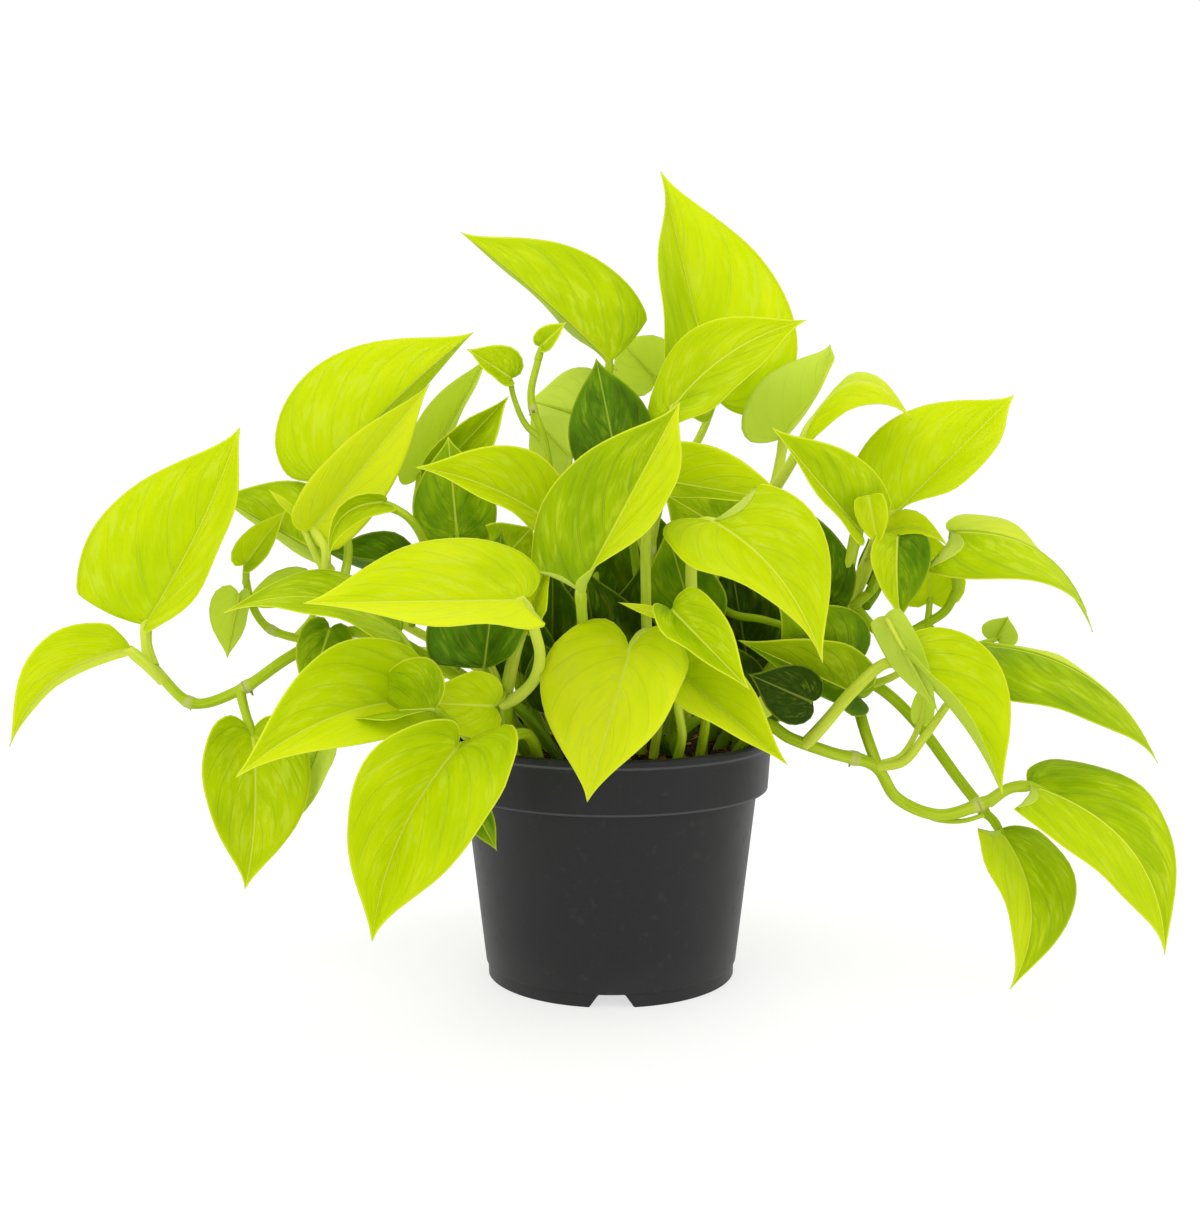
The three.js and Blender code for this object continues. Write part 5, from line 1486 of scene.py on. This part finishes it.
def growPlant():
    tree = plantTree()
    seeds = random.Random(plantLook["seed"])

    def alive(leaf, name=""):
        full = {**leafUsual, **leaf, "name": name}
        full["ruffles"] = ruffles(seeds)
        full["seed"] = seeds.uniform(0, 1)
        return full

    grown = [alive(leaf, name) for name, leaf in leaves.items()]
    grown += [alive({**rearUsual, **leaf}, name) for name, leaf in rearLeaves.items()]

    def familyOf(name):
        own = [leaf for leaf in grown if leaf.get("within") == name]
        return own + [inner for leaf in own for inner in familyOf(leaf["name"])]

    def raised(name, slot, family, stalks, nubs, *nodes):
        blades = [bladeMesh(leaf) for leaf in family]
        piece = growPiece(name, blades, stalks + [stalkPath(leaf) for leaf in family], nubs, tree)
        if nodes:
            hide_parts(*nodes)
        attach(piece, "root")

    for name, stem in stems.items():
        data = stemPath(stem)
        raised(name, "stem", familyOf(name), [data], nubsOf(stem, data, seeds), name)
    for leaf in grown:
        if "within" not in leaf:
            raised(leaf["name"], "leaf", [leaf] + familyOf(leaf["name"]), [], [], leaf["name"])
    raised("shade_leaves", "leaf", [alive(leaf) for leaf in shadeLeaves], [], [])
    raised("lobes", "leaf", [alive(leaf) for leaf in lobes], [], [])
    raised("joining_stems", "stem", [], [stemPath(stem) for stem in joiningStems], [])
    print("plant grown:", len(stems), "stems,", len(grown), "leaves")


growPlant()


# The pot: one profile turned round, with the notches lifted out of its ring foot

potSize = dict(
    rim=82.5,
    height=123.8,
    lip=1.9,
    collar=27.0,
    collarRadius=80.5,
    shoulder=75.0,
    base=64.6,
    foot=63.6,
    footHeight=7.0,
    ringInner=56.0,
    wall=1.8,
    floor=2.2,
    pad=17.0,
    notchFoot=22.0,
    notchHead=13.0,
    notches=4,
    drains=6,
    drainRadius=5.0,
    drainCircle=40.0,
    drainSides=28,
    drainDepth=4,
    ease=0.5,
    lipStep=3.6,
    lipFoot=5.6,
    segments=160,
)


def rounded(corners, steps=4, most=0.45):  # each corner (radius, z, rounding) becomes a short arc
    line = []
    for k, (x, z, soft) in enumerate(corners):
        here = np.array((x, z), float)
        if soft == 0 or k in (0, len(corners) - 1):
            line.append(here)
            continue
        before = np.array(corners[k - 1][:2], float) - here
        after = np.array(corners[k + 1][:2], float) - here
        reach = min(soft, most * np.linalg.norm(before), most * np.linalg.norm(after))
        start = here + unit(before) * reach
        end = here + unit(after) * reach
        for step in range(steps + 1):
            t = step / steps
            line.append((1 - t) ** 2 * start + 2 * t * (1 - t) * here + t * t * end)
    return line


def potProfile():
    p = potSize
    step = p["height"] - p["collar"]
    floorFoot = p["footHeight"] - p["ease"]
    floorTop = floorFoot + p["floor"]
    under = [
        (0, 0.0, 0), (p["pad"], 0.0, 0.5), (p["pad"] + p["floor"], floorFoot, 0.8),
        (p["ringInner"], floorFoot, 0.8), (p["ringInner"] + 1.5, 0.0, 0.5),
        (p["foot"], 0.0, 0.6), (p["foot"], floorFoot, 0.3),
    ]
    outer = [
        (p["base"], p["footHeight"], 0.4), (p["shoulder"], step - 1.0, 0.7),
        (p["collarRadius"], step, 0.6), (p["rim"] - 0.5, p["height"] - p["lipFoot"], 1.0),
        (p["rim"], p["height"] - p["lipStep"], 1.0), (p["rim"], p["height"] - 0.6, 1.5),
        (p["rim"] - p["lip"], p["height"], 1.2), (p["rim"] - 3.7, p["height"] - 0.4, 1.0),
        (p["rim"] - 4.1, p["height"] - 2.0, 0.8),
    ]
    inner = [
        (p["rim"] - p["wall"], p["height"] - 4.8, 0.8),
        (p["collarRadius"] - p["wall"], step + p["wall"] + 0.5, 0.6),
        (p["shoulder"] - p["wall"], step + p["wall"] - 0.5, 0.8),
        (p["base"] - 0.8 * p["wall"], floorTop + p["wall"], 1.5),
        (p["base"] - 1.7 * p["wall"], floorTop, 1.0),
        (p["pad"] + 1.5, floorTop, 0.8), (p["pad"] - 1.5, p["floor"], 0.8), (0, p["floor"], 0),
    ]
    return rounded(under + outer + inner)


def spun(name, profile, angles, lift=None):  # a closed turned shell that starts and ends on the axis
    points, faces = [], []
    turns = len(angles)
    for k, (radius, z) in enumerate(profile):
        if radius < 1e-6:
            points.append((0, 0, z * mm))
            continue
        for angle in angles:
            height = lift(radius, z, angle) if lift else z
            points.append((radius * math.cos(angle) * mm, radius * math.sin(angle) * mm, height * mm))
    rings = len(profile) - 2
    top = len(points) - 1
    for i in range(turns):
        j = (i + 1) % turns
        faces.append((0, 1 + j, 1 + i))
        for k in range(rings - 1):
            a, b = 1 + k * turns, 1 + (k + 1) * turns
            faces.append((a + i, a + j, b + j, b + i))
        last = 1 + (rings - 1) * turns
        faces.append((last + i, last + j, top))
    piece = meshObject(name, points, [], faces)
    piece.data.shade_smooth()
    return piece


def notchLift(radius, z, angle):  # the foot's underside rises in each notch
    p = potSize
    if radius < p["ringInner"] - 0.2 or z > p["footHeight"] - 0.6:
        return z
    quarter = 2 * math.pi / p["notches"]
    offset = (angle + math.pi / 2 + quarter / 2) % quarter - quarter / 2
    width = abs(offset) * p["foot"]
    top = p["footHeight"] - p["ease"] - 0.1
    slope = (p["notchFoot"] / 2 - width) / (p["notchFoot"] / 2 - p["notchHead"] / 2)
    return max(z, min(max(slope, 0), 1) * top)


def cutDrains(pot):
    p = potSize
    points, faces = [], []
    sides = p["drainSides"]
    for turn in ringOf(p["drains"]):
        start = len(points)
        middle = (p["drainCircle"] * math.cos(turn), p["drainCircle"] * math.sin(turn))
        for z in (p["footHeight"] - p["drainDepth"], p["footHeight"] + p["drainDepth"]):
            for angle in ringOf(sides):
                x = middle[0] + p["drainRadius"] * math.cos(angle)
                y = middle[1] + p["drainRadius"] * math.sin(angle)
                points.append((x * mm, y * mm, z * mm))
        faces.append(tuple(range(start + sides - 1, start - 1, -1)))
        faces.append(tuple(range(start + sides, start + 2 * sides)))
        for k in range(sides):
            j = (k + 1) % sides
            faces.append((start + k, start + j, start + sides + j, start + sides + k))
    plugs = meshObject("drainPlugs", points, [], faces)
    cut = pot.modifiers.new("drains", "BOOLEAN")
    cut.object = plugs
    cut.solver = "EXACT"
    settle(pot)
    bpy.data.objects.remove(plugs)


def makePot():
    p = potSize
    angles = set(ringOf(p["segments"]))
    for turn in ringOf(p["notches"]):
        middle = turn - math.pi / 2
        for width in (p["notchFoot"] / 2, p["notchHead"] / 2):
            for side in (-1, 1):
                for near in (-0.3, 0.3):
                    angles.add((middle + side * (width + near) / p["foot"]) % (2 * math.pi))
    angles = sorted(angles)
    kept = [angles[0]] + [b for a, b in zip(angles, angles[1:]) if b - a > 1e-4]
    pot = spun("potDressed", potProfile(), kept, notchLift)
    cutDrains(pot)
    pot.data.materials.clear()
    pot.data.materials.append(potMaterial)
    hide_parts("pot")
    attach(pot, "root")
    print("pot turned")


makePot()


# The soil: a lumpy plug, with bark and fibre strewn on it

soilSize = dict(
    top=107.0,
    moundTop=117.0,
    moundFoot=104.0,
    radius=79.2,
    gap=0.32,
    lumps=[(1.5, 26), (1.3, 7.5), (0.6, 2.6)],  # height, and the distance over which it changes
    rings=46,
    segments=110,
    strewn=70000.0,  # bits to the square metre
    bitLength=5.6,
    bitReach=73.0,
    bitDip=3.5,
    bitTilt=0.7,
    bitSpin=6.283,
    bitSides=5,
    bitBend=0.18,
    bitScales=[(0.35, 1.0), (0.5, 1.2)],
    bitTones=[(0.1, 1.0), (0.4, 1.0)],
    seed=5,
    strewSeed=3,
)

# Bark flakes, crumbs and fibres: length, width and height
bitKinds = [
    (1.0, 0.6, 0.25), (0.8, 0.7, 0.5), (0.7, 0.6, 0.6), (1.3, 0.35, 0.2), (1.9, 0.09, 0.08),
    (2.4, 0.07, 0.07),
]


def soilHeight(x, y, top):
    place = Vector((x, y, 0))
    lump, clod, crumb = (height * noise.noise(place / span) for height, span in soilSize["lumps"])
    return top + lump + (clod + crumb)


def crusted(name, side, top):  # a turned plug with a lumpy top
    s = soilSize
    shares = [1 - k / s["rings"] for k in range(s["rings"])]
    crust = [(s["radius"] * share, top) for share in shares] + [(0, top)]
    plug = spun(name, side + crust, ringOf(s["segments"]))
    for corner in plug.data.vertices:
        x, y, z = (value / mm for value in corner.co)
        if z > top - 0.01:
            corner.co.z = soilHeight(x, y, top) * mm
    plug.data.materials.append(soilMaterial)
    return plug


def makeSoil():
    s, p = soilSize, potSize
    step = p["height"] - p["collar"]
    floorTop = p["footHeight"] - p["ease"] + p["floor"]
    gap = s["gap"]
    side = [
        (0, floorTop + gap), (p["base"] - 1.7 * p["wall"] - gap - 1, floorTop + gap),
        (p["base"] - 0.8 * p["wall"] - gap - 0.5, floorTop + p["wall"] + gap + 0.5),
        (p["shoulder"] - p["wall"] - gap - 0.2, step + p["wall"]),
        (p["collarRadius"] - p["wall"] - gap - 0.3, step + p["wall"] + 1.6),
    ]
    soil = crusted("soilDressed", side, s["top"])
    mound = crusted("soilMound", [(0, s["moundFoot"]), (s["radius"] - 1.5, s["moundFoot"])], s["moundTop"])
    crumbs = strewBits(mound)
    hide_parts("soil")
    for piece in (soil, mound, crumbs):
        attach(piece, "root")
    print("soil filled")


def litterTree():
    sockets = {"Crust": "Geometry", "Bits": "Collection", "Density": "Float", "Bit Size": "Float"}
    group, tree, given = newGroup("barkAndFibre", {**sockets, "Seed": "Int"}, "Bits")
    place = tree.add("ShaderNodeSeparateXYZ", {}, {0: tree.add("GeometryNodeInputPosition", {}, {})})
    reach = tree.maths("SQRT", place["X"] * place["X"] + place["Y"] * place["Y"])
    above = tree.beyond(place["Z"], "GREATER_THAN", (soilSize["moundTop"] - soilSize["bitDip"]) * mm)
    clear = tree.beyond(reach, "LESS_THAN", soilSize["bitReach"] * mm)
    chosen = tree.add("FunctionNodeBooleanMath", {"operation": "AND"}, {0: above, 1: clear})
    sockets = {"Mesh": given["Crust"], "Selection": chosen, "Density": given["Density"]}
    dots = tree.add("GeometryNodeDistributePointsOnFaces", {}, {**sockets, "Seed": given["Seed"]})
    sockets = {"Collection": given["Bits"], "Separate Children": True}
    kinds = tree.add("GeometryNodeCollectionInfo", {}, sockets)

    def chance(span, seed):
        sockets = {2: span[0], 3: span[1], "Seed": given["Seed"] + seed}
        return tree.add("FunctionNodeRandomValue", {"data_type": "FLOAT"}, sockets)["Value"]

    tilt = soilSize["bitTilt"]
    sockets = {0: (-tilt, -tilt, 0.0), 1: (tilt, tilt, soilSize["bitSpin"]), "Seed": given["Seed"] + 2}
    spin = tree.add("FunctionNodeRandomValue", {"data_type": "FLOAT_VECTOR"}, sockets)
    broad, fine = soilSize["bitScales"]
    size = chance(broad, 3) * chance(fine, 4) * given["Bit Size"]
    sockets = {"Points": dots, "Instance": kinds, "Pick Instance": True, "Rotation": spin, "Scale": size}
    strewn = tree.add("GeometryNodeInstanceOnPoints", {}, sockets)
    broad, fine = soilSize["bitTones"]
    sockets = {"Geometry": strewn, "Name": "bitTone", "Value": chance(broad, 5) * chance(fine, 6)}
    settings = {"data_type": "FLOAT", "domain": "INSTANCE"}
    strewn = tree.add("GeometryNodeStoreNamedAttribute", settings, sockets)
    real = tree.add("GeometryNodeRealizeInstances", {}, {0: strewn})
    dressed = tree.add("GeometryNodeSetMaterial", {}, {"Geometry": real, "Material": litterMaterial})
    tree.add("NodeGroupOutput", {}, {"Bits": dressed})
    return group


def bitShape(name, size, seeds, home):  # one bark flake, crumb or fibre, about one unit long
    length, width, height = size
    points, faces = [], []
    sides = soilSize["bitSides"]
    stops = (-0.5, -0.3, 0.0, 0.28, 0.5)
    girths = (0.25, 0.9, 1.0, 0.8, 0.2)
    for stop, girth in zip(stops, girths):
        bend = soilSize["bitBend"] * length * math.sin(3 * stop) * seeds.uniform(0.4, 1)
        for k in range(sides):
            angle = 2 * math.pi * (k + seeds.uniform(-0.2, 0.2)) / sides
            y = 0.5 * width * girth * math.cos(angle) + bend
            points.append((stop * length, y, 0.5 * height * girth * math.sin(angle)))
    for i in range(len(stops) - 1):
        for k in range(sides):
            j = (k + 1) % sides
            a, b = sides * i, sides * (i + 1)
            faces.append((a + k, a + j, b + j, b + k))
    faces.append(tuple(reversed(range(sides))))
    faces.append(tuple(range(len(points) - sides, len(points))))
    meshObject(name, points, [], faces, home)


def strewBits(soil):
    seeds = random.Random(soilSize["seed"])
    shapes = bpy.data.collections.new("bitShapes")
    for k, size in enumerate(bitKinds):
        bitShape("bit%d" % k, size, seeds, shapes)
    crumbs = bpy.data.objects.new("soilBits", soil.data.copy())
    scene.collection.objects.link(crumbs)
    values = {"Bits": shapes, "Density": soilSize["strewn"], "Bit Size": soilSize["bitLength"] * mm}
    growMesh(crumbs, litterTree(), {**values, "Seed": soilSize["strewSeed"]})
    for shape in list(shapes.objects):
        bpy.data.objects.remove(shape)
    bpy.data.collections.remove(shapes)
    return crumbs


makeSoil()
